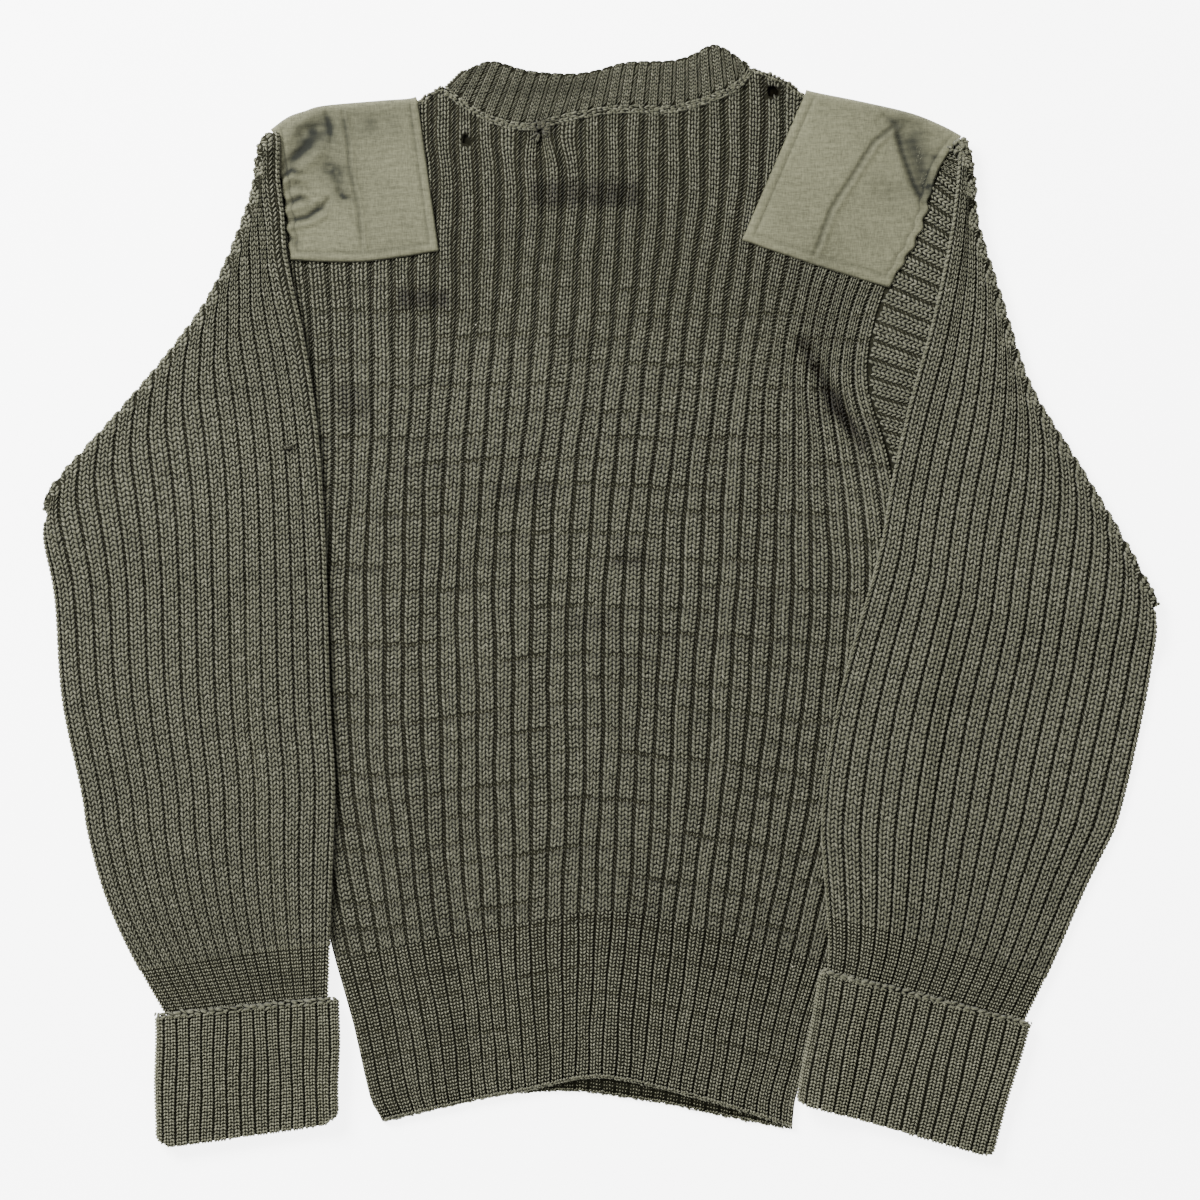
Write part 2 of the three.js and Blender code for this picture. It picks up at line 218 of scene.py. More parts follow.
def skin_of(grid, ribs, side=1):
    """Places and normals by rib number and by length of knitting from the grid's first row."""
    step = 1.5
    steps = np.linalg.norm(np.diff(grid, axis=0), axis=2)
    lengths = np.vstack([np.zeros(grid.shape[1]), np.cumsum(steps, axis=0)])
    reach = np.arange(0, lengths[-1].max() + 2 * step, step)
    table = np.empty((len(reach), grid.shape[1], 3))
    for c in range(grid.shape[1]):
        for k in range(3):
            table[:, c, k] = np.interp(reach, lengths[:, c], grid[:, c, k])
    every = np.arange(grid.shape[1])

    def skin(rib, length):
        column = np.clip(np.interp(rib, ribs, every), 0, grid.shape[1] - 1.001)
        row = np.clip(length / step, 0, len(reach) - 1.001)
        c, r = column.astype(int), row.astype(int)
        fc, fr = (column - c)[..., None], (row - r)[..., None]
        a, b, d, e = table[r, c], table[r, c + 1], table[r + 1, c], table[r + 1, c + 1]
        place = (a * (1 - fc) + b * fc) * (1 - fr) + (d * (1 - fc) + e * fc) * fr
        sideways = (b - a) * (1 - fr) + (e - d) * fr
        up = (d - a) * (1 - fc) + (e - b) * fc
        lead = unit(up)
        square = sideways - lead * np.sum(sideways * lead, axis=-1, keepdims=True)
        pitch = np.linalg.norm(square, axis=-1) / np.maximum(ribs[c + 1] - ribs[c], 1e-6)
        normal = side * unit(np.cross(unit(sideways), unit(up)))
        return place, normal, pitch, length < np.interp(column, every, lengths[-1])

    skin.longest = lengths[-1].max()
    return skin


def strands(name, start, end, normal, wide, high, material, spots=(0.2, 0.7), slot="wool_rib"):
    """Short lengths of plump yarn, each from a start to an end, in one piece."""
    wide = np.broadcast_to(np.asarray(wide, float), (len(start),))[:, None]
    high = np.broadcast_to(np.asarray(high, float), (len(start),))[:, None]
    side = unit(np.cross(normal, end - start)) * wide
    parts = [start - normal * 0.25]
    for spot in spots:
        centre = start + (end - start) * spot
        low = centre - normal * 0.35 * high
        parts += [low + side, centre + normal * high, low - side]
    parts.append(end - normal * 0.25)
    points = np.stack(parts, axis=1)
    count = points.shape[1]
    faces = []
    for k in range(3):
        n = (k + 1) % 3
        faces += [[0, 1 + n, 1 + k], [count - 1, count - 4 + k, count - 4 + n]]
        for low in range(1, count - 4, 3):
            faces += [[low + k, low + n, low + 3 + n], [low + k, low + 3 + n, low + 3 + k]]
    faces = np.array(faces)[None] + (np.arange(len(points)) * count)[:, None, None]
    return soft_piece(name, points.reshape(-1, 3), faces.reshape(-1, 3)[:, ::-1], material)


def v_stitches(skin, ribs, lengths, row, share=0.2, widest=2.6, shown=None, sunk=None, rise=1.25, plump=0.36,
               drawn=None, seed=1):
    """The two legs of every V stitch, as starts, ends, normals and widths, on ribs at these lengths."""
    rng = np.random.default_rng(seed)
    rib, length = np.meshgrid(np.asarray(ribs, float), lengths, indexing="ij")
    rib, length = rib.ravel() + 0.5, length.ravel()
    place, _, pitch, _ = skin(rib, length)
    share = share(place) if callable(share) else share
    half = np.minimum(share, widest / pitch)
    drawn = np.zeros(len(rib)) if drawn is None else drawn(place)
    found = []
    for wale in (-1, 1):
        for leg in (-1, 1):
            middle = rib + wale * half
            shake = rng.normal(0, 1, (4, len(rib)))
            low = length - (0.3 + 0.04 * shake[0]) * row
            high = low + rise * row
            start, _, _, _ = skin(middle + leg * half * (0.12 + 0.18 * drawn + 0.05 * shake[1]), low)
            end, _, _, inside = skin(middle + leg * half * (0.92 - 0.16 * drawn + 0.06 * shake[2]), high)
            _, normal, _, _ = skin(middle + leg * half * 0.5, length)
            inside = inside & (low > 0) & (high > 0)
            if shown is not None:
                inside &= shown((start + end) / 2, normal)
            drop = np.zeros(len(rib)) if sunk is None else sunk(start)
            start = start - normal * (drop - 0.1)[:, None]
            end = end - normal * (0.45 + drop)[:, None]
            wide = np.minimum(0.42 * half * pitch, plump * row) * (1 - 0.12 * drawn) * (1 + 0.12 * shake[3])
            found.append((start[inside], end[inside], normal[inside], wide[inside]))
    return [np.concatenate(part) for part in zip(*found)]


def furrow_strands(skin, ribs, lengths, share=0.2, sunk=1.5, shown=None, steep=1.0, columns=1, wide=0.4,
                   seed=1):
    """Short slanted strands of the purl stitches, in columns down the furrow at the start of each rib."""
    rng = np.random.default_rng(seed)
    rib, length = np.meshgrid(np.asarray(ribs, float), lengths, indexing="ij")
    rib, length = rib.ravel(), length.ravel()
    place, normal, pitch, _ = skin(rib, length)
    reach = 0.5 - 2 * (share(place) if callable(share) else share) + 0.03
    lean = steep(place) if callable(steep) else steep
    found = []
    for column in range(columns):
        shake = rng.normal(0, 1, (3, len(rib)))
        middle = rib + reach * ((2 * column + 1) / columns - 1) + 0.015 * shake[2]
        half = reach / columns * (1.15 if columns > 1 else 1)
        low = length + 0.9 * column - lean * half * pitch * (1 + 0.08 * shake[0])
        high = length + 0.9 * column + lean * half * pitch
        start, _, _, _ = skin(middle - half, low)
        end, _, _, inside = skin(middle + half, high)
        inside = inside & (np.minimum(low, high) > 1)
        if shown is not None:
            inside = inside & shown((start + end) / 2, normal)
        start, end = start - normal * sunk, end - normal * sunk
        plump = wide * (1 + 0.1 * shake[1])
        found.append((start[inside], end[inside], normal[inside], plump[inside]))
    return [np.concatenate(part) for part in zip(*found)]


def chain(name, path, pitch, wide, high, material, ragged=0.1, seed=1):
    """A line of linked loops along a path in space, like a crocheted chain."""
    rng = np.random.default_rng(seed)
    length = np.linalg.norm(np.diff(path, axis=0), axis=1).sum()
    count = int(length / pitch)
    spots = (np.arange(count) + 0.5) / count
    middle, ahead = along(path, spots), along(path, np.clip(spots + 1.25 / count, 0, 1))
    way = unit(ahead - middle)
    aside = unit(np.cross(np.broadcast_to(UP, way.shape), way)) * wide
    starts, ends = [], []
    for hand in (-1, 1):
        shake = rng.normal(0, ragged * wide, (2, count, 3))
        starts.append(middle + hand * 0.15 * aside + shake[0])
        ends.append(ahead + hand * 0.75 * aside + shake[1] - np.array([0, 0, 0.3 * high]))
    starts, ends = np.concatenate(starts), np.concatenate(ends)
    normal = np.broadcast_to(UP, starts.shape)
    thick = 0.5 * wide * (1 + ragged * rng.normal(0, 1, len(starts)))
    return strands(name, starts, ends, normal, thick, high, material)


def inside_of(outline, place):
    """Which places are inside a closed outline, seen from above."""
    x, y = place[..., 0], place[..., 1]
    found = np.zeros(x.shape, bool)
    for (ax, ay), (bx, by) in zip(outline, np.roll(outline, -1, axis=0)):
        if ay != by:
            found ^= ((ay > y) != (by > y)) & (x < ax + (y - ay) / (by - ay) * (bx - ax))
    return found


def near_line(place, start, end):
    """Distance of places from a straight line between two points, seen from above."""
    start, end = np.array(start, float), np.array(end, float)
    reach = end - start
    share = np.clip(((place[..., :2] - start) @ reach) / (reach @ reach), 0, 1)
    return np.linalg.norm(place[..., :2] - start - share[..., None] * reach, axis=-1)


def outside_of(outline, place):
    """Distance of places from a closed outline, and 0 inside it."""
    nearest = np.full(place.shape[:-1], 1e9)
    for start, end in zip(outline, np.roll(outline, -1, axis=0)):
        if np.abs(start - end).max() > 1e-6:
            nearest = np.minimum(nearest, near_line(place, start, end))
    return np.where(inside_of(outline, place), 0, nearest)


def wool_group():
    """Heathered wool yarn: light and dark fibres, flecks, fading, painted crease shade, grime with painted
    shade, and its fibres' height.
    """
    group = bpy.data.node_groups.new("wool yarn", "ShaderNodeTree")
    face = group.interface
    for label in ("Dark", "Light", "Fleck"):
        face.new_socket(label, in_out="INPUT", socket_type="NodeSocketColor")
    for label, default in (("Fleck Share", 0.3), ("Fade", 0.3), ("Crease", 0.4), ("Soil and Shade", 0.0)):
        face.new_socket(label, in_out="INPUT", socket_type="NodeSocketFloat").default_value = default
    face.new_socket("Color", in_out="OUTPUT", socket_type="NodeSocketColor")
    face.new_socket("Height", in_out="OUTPUT", socket_type="NodeSocketFloat")
    nodes, links = group.nodes, group.links
    inputs, outputs = nodes.new("NodeGroupInput"), nodes.new("NodeGroupOutput")
    coords = nodes.new("ShaderNodeTexCoord")
    noises = {}
    across = nodes.new("ShaderNodeMapping")
    across.inputs["Scale"].default_value = (14, 95, 30)
    links.new(coords.outputs["Object"], across.inputs["Vector"])
    for label, scale, detail in (("fibre", 900, 3), ("blotch", 330, 2), ("cloud", 11, 4), ("crease", 1, 2)):
        node = noises[label] = nodes.new("ShaderNodeTexNoise")
        node.inputs["Scale"].default_value = scale
        node.inputs["Detail"].default_value = detail
        source = across.outputs["Vector"] if label == "crease" else coords.outputs["Object"]
        links.new(source, node.inputs["Vector"])

    def share(source, low, high, most=None):
        node = nodes.new("ShaderNodeMapRange")
        node.inputs["From Min"].default_value = low
        node.inputs["From Max"].default_value = high
        links.new(source, node.inputs["Value"])
        if most is not None:
            links.new(most, node.inputs["To Max"])
        return node.outputs["Result"]

    def mix(factor, first, second):
        node = nodes.new("ShaderNodeMix")
        node.data_type = "RGBA"
        links.new(factor, node.inputs[0])
        links.new(first, node.inputs[6])
        links.new(second, node.inputs[7])
        return node.outputs[2]

    fibres = share(noises["fibre"].outputs["Fac"], 0.35, 0.68)
    color = mix(fibres, inputs.outputs["Dark"], inputs.outputs["Light"])
    flecks = share(noises["blotch"].outputs["Fac"], 0.5, 0.75, inputs.outputs["Fleck Share"])
    color = mix(flecks, color, inputs.outputs["Fleck"])
    clouds = share(noises["cloud"].outputs["Fac"], 0.3, 0.7, inputs.outputs["Fade"])
    color = mix(clouds, color, inputs.outputs["Dark"])
    # Thin horizontal streaks of painted shade, standing for faint creases
    crease_shade = share(noises["crease"].outputs["Fac"], 0.58, 0.72, inputs.outputs["Crease"])
    color = mix(crease_shade, color, inputs.outputs["Dark"])
    # This input darkens the colour with stains and with painted shade in holes, creases, folds and the
    # armhole's dent
    deep = nodes.new("ShaderNodeMix")
    deep.data_type, deep.blend_type = "RGBA", "MULTIPLY"
    deep.inputs[7].default_value = (0.22, 0.2, 0.2, 1)
    links.new(inputs.outputs["Soil and Shade"], deep.inputs[0])
    links.new(color, deep.inputs[6])
    links.new(deep.outputs[2], outputs.inputs["Color"])
    links.new(noises["fibre"].outputs["Fac"], outputs.inputs["Height"])
    return group


def wool(name, dark, light, fleck, fleck_share=0.3, fade=0.3, crease=0.4, fuzz=0.05):
    """Matte wool from the yarn group."""
    material = bpy.data.materials.new(name)
    material.use_nodes = True
    nodes, links = material.node_tree.nodes, material.node_tree.links
    shader = nodes["Principled BSDF"]
    yarn = nodes.new("ShaderNodeGroup")
    yarn.node_tree = wool_yarn
    for label, value in (("Dark", dark), ("Light", light), ("Fleck", fleck)):
        yarn.inputs[label].default_value = (*value, 1)
    yarn.inputs["Fleck Share"].default_value = fleck_share
    yarn.inputs["Fade"].default_value = fade
    yarn.inputs["Crease"].default_value = crease
    soil_shade_input = nodes.new("ShaderNodeAttribute")
    soil_shade_input.attribute_name = "soil_and_shade"
    links.new(soil_shade_input.outputs["Fac"], yarn.inputs["Soil and Shade"])
    links.new(yarn.outputs["Color"], shader.inputs["Base Color"])
    shader.inputs["Roughness"].default_value = 0.95
    shader.inputs["Specular IOR Level"].default_value = 2 * fuzz
    shader.inputs["Sheen Weight"].default_value = fuzz
    shader.inputs["Sheen Roughness"].default_value = 0.6
    height = nodes.new("ShaderNodeBump")
    height.inputs["Strength"].default_value = 0.35
    height.inputs["Distance"].default_value = 0.0004
    links.new(yarn.outputs["Height"], height.inputs["Height"])
    links.new(height.outputs["Normal"], shader.inputs["Normal"])
    return material


wool_yarn = wool_group()
body_wool = wool("olive wool", (0.042, 0.043, 0.027), (0.122, 0.122, 0.082), (0.25, 0.245, 0.18), 0.45, 0.25)
shade_wool = wool("olive wool in the shade", (0.03, 0.03, 0.019), (0.09, 0.09, 0.06), (0.16, 0.155, 0.11),
                  fuzz=0.02)
rib_wool = wool("olive wool in fine rib", (0.066, 0.067, 0.043), (0.185, 0.184, 0.124), (0.3, 0.295, 0.21),
                0.4, 0.25)
# The cloth under the stitches is painted near-black as the shade in the furrows and gaps
shaded_furrow_wool = wool("olive wool painted dark as furrow shade", (0.007, 0.007, 0.0045), (0.018, 0.018, 0.012),
                   (0.032, 0.03, 0.02), fuzz=0)

# Outlines of the panels, from the hem up or from left to right
HEM_BACK = line([-141, -339.5], [-79, -325.5], [-49, -320], [-12, -312], [16, -313], [73, -327], [126, -343])
SIDE_LEFT = line([-141, -339.5], [-149, -325], [-161, -273], [-177, -214], [-194, -117], [-201, -13],
                 [-200, 26])
SIDE_RIGHT = line([126, -342.5], [127.5, -328], [131, -314], [137, -295], [141.5, -275], [161, -214],
                  [185, -117], [197, -13], [199, 26])
ARMHOLE_LEFT = line([-200, 26], [-198, 110], [-201, 175], [-206, 224], [-208, 270], [-212, 298])
ARMHOLE_RIGHT = line([199, 26], [195, 65], [188, 100], [176, 145], [184, 193], [206, 240], [222, 283],
                     [227, 299])
SHOULDER_LEFT = line([-213, 301.5], [-201, 310.5], [-190, 314.5], [-178, 317.8], [-142, 321], [-120, 323],
                     [-111, 329], [-101.5, 334])
SHOULDER_RIGHT = line([98.5, 346], [104, 344.5], [111, 341.8], [121, 337.8], [129, 332], [136, 327.5],
                      [170, 320.5], [202, 313], [222, 305], [234, 298.5])
NECK_BACK = line([-101.5, 334], [-74, 316], [-46, 309.5], [-26, 314.5], [12, 321], [47, 321], [78, 330],
                 [93, 338.5], [98.5, 346])
# Inner edges of the turned-down sleeves, from the shoulder to the cuff
LEFT_INNER = line([-205.5, 306], [-204.5, 296], [-206, 280], [-203.5, 260], [-201, 224], [-191, 177],
                  [-182, 115], [-177, 38], [-174, -70], [-171, -121], [-174, -196], [-174, -229])
RIGHT_INNER = line([229.5, 300], [226, 250], [214, 184], [200, 131], [188, 75], [181, 32], [155, -65],
                   [144, -145], [149, -213], [150, -227])
left_edge = np.vstack([SIDE_LEFT, ARMHOLE_LEFT[1:]])
right_edge = np.vstack([SIDE_RIGHT, ARMHOLE_RIGHT[1:]])
right_straight = np.vstack([SIDE_RIGHT, line([199, 26], [204, 100], [212, 180], [221, 240], [227, 299])[1:]])
back_top = np.vstack([SHOULDER_LEFT, NECK_BACK[1:], SHOULDER_RIGHT[1:]])
body_outline = np.vstack([left_edge, right_edge[::-1]])


def rib_x(rib, y):
    """Where a rib runs across the body at a height: ribs crowd beside the right armhole."""
    left = np.interp(y, left_edge[:, 1], left_edge[:, 0])
    straight = np.interp(y, right_straight[:, 1], right_straight[:, 0])
    right = np.interp(y, right_edge[:, 1], right_edge[:, 0])
    waver = 0.6 * np.sin(y / 43 + rib * 0.3) + 0.5 * np.sin(y / 23 - rib * 0.8)
    waver = waver + 0.3 * np.sin(y / 9 + rib * 2.1)
    waver = waver * np.clip(np.minimum(rib, BODY_RIBS - rib) / 4, 0, 1)
    share = rib / BODY_RIBS
    lean = 15 * smooth((y - 40) / 240) * (1 - (2 * share - 1) ** 2)
    crowding = (right - straight) * np.exp(-(((BODY_RIBS - rib) / 5.5) ** 2))
    x = left + share * (straight - left) + crowding + waver + lean
    pinch = np.exp(-(((x - PUCKER[0]) / 15) ** 2) - ((y - PUCKER[1]) / 13) ** 2)
    return x - 0.5 * (x - PUCKER[0]) * pinch


def body_grid(hem, top, ribs, shares):
    """Rows of places up each rib from the hem to the top edge, in plan."""
    y = np.linspace(-345, 362, 900)[:, None]
    x = rib_x(ribs[None], y)
    end = np.argmax(y > np.interp(x, top[:, 0], top[:, 1]), axis=0)
    start = np.argmax(y > np.interp(x, hem[:, 0], hem[:, 1]), axis=0)
    low, high = y[start, 0], np.where(end > 0, y[end, 0], 300)
    places_y = low + (high - low) * shares[:, None]
    return np.stack([rib_x(ribs[None], places_y), places_y], axis=-1)


def back_height(place):
    """Height of the back panel's face: creases beside the right armhole, soft waves and rolled side edges."""
    x, y = place[..., 0], place[..., 1]
    z = FLAT - CREST + lift(y) + 0.4 * np.sin(x / 31 + 1) * np.sin(y / 47) + 0.25 * np.sin(x / 17 + y / 60)
    for start, end, high, wide in (
        ((114, 170), (148, 102), 2.6, 9),
        ((152, 150), (183, 92), 2.4, 7),
        ((133, 166), (163, 110), -3.4, 4.5),
        ((-60, 20), (10, -30), 1.0, 25),
        ((-150, 190), (-60, 205), 0.8, 10),
        (PUCKER, (-40, 290), -2.0, 5),
        ((-30, 300), (-28, 284), 1.6, 4),
    ):
        z = z + high * np.exp(-((near_line(place, start, end) / wide) ** 2))
    left = np.interp(y, left_edge[:, 1], left_edge[:, 0])
    right = np.interp(y, right_edge[:, 1], right_edge[:, 0])
    edge = np.clip(1 - np.minimum(x - left, right - x) / 3.5, 0, 1)
    return z - 2.4 * (1 - np.sqrt(1 - 0.98 * edge**2))


ribs, depth = rib_columns(BODY_RIBS)
back_rows = np.append(np.linspace(0, 0.95, 60)[:-1], np.linspace(0.95, 1, 16))
plan = body_grid(HEM_BACK, back_top, ribs, back_rows)
middles = (plan[:-1, :-1] + plan[1:, 1:] + plan[1:, :-1] + plan[:-1, 1:]) / 4
torn = np.zeros(middles.shape[:2], bool)
back_face = np.dstack([plan, back_height(plan)])
outer = back_face.copy()
for centre, radius in HOLES:
    torn |= np.linalg.norm(middles - centre, axis=-1) < 0.55 * radius
    away = outer[..., :2] - centre
    far = np.linalg.norm(away, axis=-1, keepdims=True)
    outer[..., :2] = centre + away / np.maximum(far, 1e-6) * (far**3 + (0.8 * radius) ** 3) ** (1 / 3)
outer[..., 2] -= depth
inner = outer.copy()
inner[..., 2] = np.minimum(LAYER + lift(outer[..., 1]), outer[..., 2] - 0.4)
back_cloth = cloth("back_panel_cloth", outer, inner, shaded_furrow_wool, holes=torn)
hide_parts("back_panel")

back_skin = skin_of(back_face, ribs)
LEFT_COVERED = np.array([(-196, 226), (-153, 225), (-110, 232), (-121, 340), (-240, 340)])
RIGHT_COVERED = np.array([(100, 238), (140, 223), (186, 208), (216, 330), (140, 345)])
left_flap = np.vstack([LEFT_INNER + [-12, 0], [[-400, -229], [-400, 297]]])
right_flap = np.vstack([RIGHT_INNER + [12, 0], [[400, -227], [400, 295]]])


def back_shown(place, normal):
    """Stitches that lie deep under a sleeve or a patch, or in a hole, are left out."""
    shown = ~inside_of(left_flap, place) & ~inside_of(right_flap, place)
    shown &= ~inside_of(LEFT_COVERED, place) & ~inside_of(RIGHT_COVERED, place)
    for centre, radius in HOLES:
        away = place[..., :2] - centre
        ragged = 1 + 0.25 * np.sin(3 * np.arctan2(away[..., 1], away[..., 0]) + 2 * radius)
        shown &= np.linalg.norm(away, axis=-1) > radius * ragged
    return shown


def creases(place):
    """How strong the creases across the body are: one about every sixth row, uneven along its length."""
    x, y = place[..., 0], place[..., 1]
    level = smooth((y + 300) / 420)
    length = y + 325 * level - (1 - level) * np.interp(x, HEM_BACK[:, 0], HEM_BACK[:, 1])
    shifted = length + 1.1 * np.sin(x / 24) + 1.3 * np.sin(x / 70 + length / 80) + 0.5 * np.sin(x / 5.1)
    number = np.floor(shifted / CREASE_PITCH)
    strength = 0.75 + 0.3 * np.sin(number * 2.4 + x / 36) + 0.18 * np.sin(number * 1.3 - x / 13.3)
    where = shifted - CREASE_PITCH * (number + 0.5)
    fades = smooth((length - 10) / 30) * (1 - 0.75 * smooth((length - 500) / 60))
    body = smooth((length - 70) / 60)
    strength = np.clip(strength, 0.1, 1.1) * fades * (0.75 + 0.25 * body)
    return strength * np.exp(-((where / (1.0 + 0.3 * body)) ** 2))


def creased(place):
    """How far the creases sink the stitches."""
    return CREASE_DEPTH * creases(place)


def darken(piece, dark):
    """More painted shade on a piece, by a function of its places."""
    mesh = piece.data
    points = np.empty(3 * len(mesh.vertices), np.float32)
    mesh.vertices.foreach_get("co", points)
    values = np.empty(len(mesh.vertices), np.float32)
    soil_shade = mesh.attributes["soil_and_shade"].data
    soil_shade.foreach_get("value", values)
    values = np.clip(values + dark(points.reshape(-1, 3) / MM), 0, 1)
    soil_shade.foreach_set("value", values.astype(np.float32))


def back_share(place):
    """Ribs pull apart over the shoulder blades, where their furrows open."""
    high = smooth((place[..., 1] - 110) / 120)
    beside = smooth((np.abs(place[..., 0] + 10) - 105) / 50)
    return 0.197 - 0.055 * high * (1 - beside)


def drawn_up(place):
    """The stitches are stretched long and narrow over the shoulder blades."""
    return smooth((place[..., 1] - 120) / 110)


def furrow_slant(place):
    """The purl strands lean one way over the shoulders and the other way below."""
    y = place[..., 1]
    return 1.25 * smooth((y - 90) / 60) - 1.1 * (1 - smooth((y - 60) / 40))


hem_rows = np.arange(1, HEM_DEPTH, HEM_ROW)
body_rows = np.arange(HEM_DEPTH + 1, back_skin.longest, BODY_ROW)
upper_rows = np.arange(DRAWN_FROM, back_skin.longest, 2.5)
lower_rows = np.arange(HEM_DEPTH + 1, DRAWN_FROM, 2.6)
stitch_pieces = []
for side, some in (("left", range(LEFT_RIBS)), ("right", range(LEFT_RIBS, BODY_RIBS))):
    legs = v_stitches(back_skin, some, body_rows, BODY_ROW, back_share, shown=back_shown, sunk=creased,
                      drawn=drawn_up, seed=3)
    stitch_pieces.append(strands(f"back_panel_stitches_{side}", *legs, 0.95, body_wool))
legs = v_stitches(back_skin, range(BODY_RIBS), hem_rows, HEM_ROW, 0.228, shown=back_shown, sunk=creased,
                  rise=1.0, plump=0.37, seed=4)
stitch_pieces.append(strands("hem_stitches", *legs, 1.1, rib_wool, spots=(0.42,)))
# Painted shade darkens the stitches along the creases
for piece in stitch_pieces:
    darken(piece, lambda place: CREASE_SHADE * creases(place))
furrows = range(1, BODY_RIBS)
bars = furrow_strands(back_skin, furrows, lower_rows, back_share, 1.3, back_shown, furrow_slant, seed=5)
stitch_pieces.append(strands("back_panel_furrow_strands", *bars, 0.6, shade_wool, spots=(0.5,)))
bars = furrow_strands(back_skin, furrows, upper_rows, back_share, 0.8, back_shown, furrow_slant, 2, 0.36,
                      seed=9)
stitch_pieces.append(strands("shoulder_furrow_strands", *bars, 0.6, body_wool, spots=(0.5,)))
hem_path = np.column_stack([HEM_BACK + [0, 0.8], np.full(len(HEM_BACK), FLAT - CREST)])
stitch_pieces.append(chain("hem_cast_on", hem_path, 2.2, 1.3, 1.0, body_wool, ragged=0.25, seed=10))
bare_left = SHOULDER_LEFT[SHOULDER_LEFT[:, 0] > -123]
bare_right = SHOULDER_RIGHT[SHOULDER_RIGHT[:, 0] < 134]
for side, edge in (("left", bare_left), ("right", bare_right)):
    edge_path = np.column_stack([edge - [0, 0.6], np.full(len(edge), FLAT + LIFT - 1.6)])
    stitch_pieces.append(chain(f"shoulder_edge_{side}", edge_path, 2.6, 1.9, 1.5, body_wool, ragged=0.2,
                               seed=30))
rng = np.random.default_rng(31)
turn = rng.uniform(0, math.tau, DARN_STRANDS)
spread = np.stack([np.cos(turn), np.sin(turn), np.zeros(DARN_STRANDS)], 1)
middle = np.array([PUCKER[0], PUCKER[1] + 2, FLAT + LIFT - 1.2])
ends = middle + spread * rng.uniform(5, 9, DARN_STRANDS)[:, None] + [0, 0, 1.2]
darn = strands("darn", middle + 1.5 * spread, ends, np.broadcast_to(UP, ends.shape), 0.7, 0.8, body_wool)
stitch_pieces.append(darn)
specks = np.array([(-7.8, 258.7), (-80.6, 178.7), (-3.9, -289.9), (125.5, -239.2)])
specks = np.column_stack([specks, back_height(specks) + 1.1])
lint_wool = wool("pale lint", (0.25, 0.24, 0.18), (0.4, 0.38, 0.3), (0.5, 0.48, 0.4))
upward = np.broadcast_to(UP, specks.shape)
stitch_pieces.append(strands("lint", specks, specks + [1.0, 0.8, 0.1], upward, 0.55, 0.5, lint_wool))

# Front panel: the same rib under the back. Only its hem shows, below the back's, and its ribs run the
# same way. It is plain inside and lies on the surface.
HEM_SHOWN_TO = -280
NECK_FRONT = line([-101.5, 333], [-92, 292], [-62, 264], [0, 254], [62, 268], [90, 300], [98, 344])
HEM_FRONT = line([-141, -340.5], [-79, -325.5], [-41, -320.5], [-12, -320.5], [18, -324.5], [46, -329],
                 [83, -337], [126, -345])
front_top = np.vstack([SHOULDER_LEFT, NECK_FRONT[1:], SHOULDER_RIGHT[1:]])
front_rows = np.append(np.linspace(0, 0.1, 5)[:-1], np.linspace(0.1, 1, 13))
plan = body_grid(HEM_FRONT, front_top, ribs, front_rows)
under_depth = 1.0 * (depth > 2)
outer = np.dstack([plan, KNIT - 0.2 + lift(plan[..., 1]) - 0.7 * under_depth])
inner = np.dstack([plan, lift(plan[..., 1]) + 0.8 * under_depth])
front_cloth = cloth("front_panel_cloth", outer, inner, shaded_furrow_wool)
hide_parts("front_panel")
# Above its hem the front panel shows only through the back's holes, and it is painted fully dark there as
# shade
darken(front_cloth, lambda place: place[:, 1] > HEM_SHOWN_TO)
front_skin = skin_of(outer, ribs)
legs = v_stitches(front_skin, range(BODY_RIBS), np.arange(1, 10, HEM_ROW), HEM_ROW, 0.22, rise=0.9,
                  plump=0.34, seed=6)
front_stitches = strands("front_hem_stitches", *legs, 0.8, rib_wool, spots=(0.5,))
hem_path = np.column_stack([HEM_FRONT + [0, 0.8], np.full(len(HEM_FRONT), KNIT - 0.4)])
front_edge = chain("front_hem_cast_on", hem_path, 2.2, 1.3, 1.0, body_wool, ragged=0.25, seed=10)

# Neckband: one ring of finer rib, sewn to the back and front necklines with a chain of bigger stitches.
# It stands up in two horns where it folds at its ends.
NECK_RIBS = 23
NECK_ROW = 2.3
SEAM_OVERLAP = 0.035
BAND_BACK = line([-88, 344], [-80, 349], [-68, 351.3], [-46, 345.3], [-19, 343.3], [-2, 345.5], [18, 350.8],
                 [46, 351.8], [60, 355.5], [73, 362], [83, 359.5], [96, 350.5])
BAND_FRONT = line([-88, 344], [-74, 318], [-50, 292], [0, 282], [46, 296], [68, 322], [96, 350.5])
RIM = LAYER / 2 + KNIT / 2


def ring_of(upper, lower, fold_ribs=1):
    """A flat ring: across one layer, round its end, back across the other layer and round the start."""
    round_shares = (np.arange(fold_ribs)[:, None] + RIB_SHARES).ravel() / fold_ribs

    def fold(first, before, second):
        middle, half = (first + second) / 2, (first - second) / 2
        out = first - before
        out = out - half * (np.sum(out * half, -1) / np.sum(half * half, -1))[:, None]
        out = unit(out) * np.linalg.norm(half, axis=-1, keepdims=True)
        turn = math.pi * round_shares[None, :, None]
        return middle[:, None] + half[:, None] * np.cos(turn) + out[:, None] * np.sin(turn)

    ends = fold(upper[:, -1], upper[:, -2], lower[:, -1])
    starts = fold(lower[:, 0], lower[:, 1], upper[:, 0])
    return np.concatenate([upper[:, :-1], ends, lower[:, :0:-1], starts], axis=1)


def sunk_by(face, distance, side=1):
    """A ring's face moved in by a distance for each column."""
    round_it = np.roll(face, -1, axis=1) - np.roll(face, 1, axis=1)
    normal = side * unit(np.cross(unit(round_it), unit(np.gradient(face, axis=0))))
    return face - normal * np.broadcast_to(distance, face.shape[:2])[..., None]


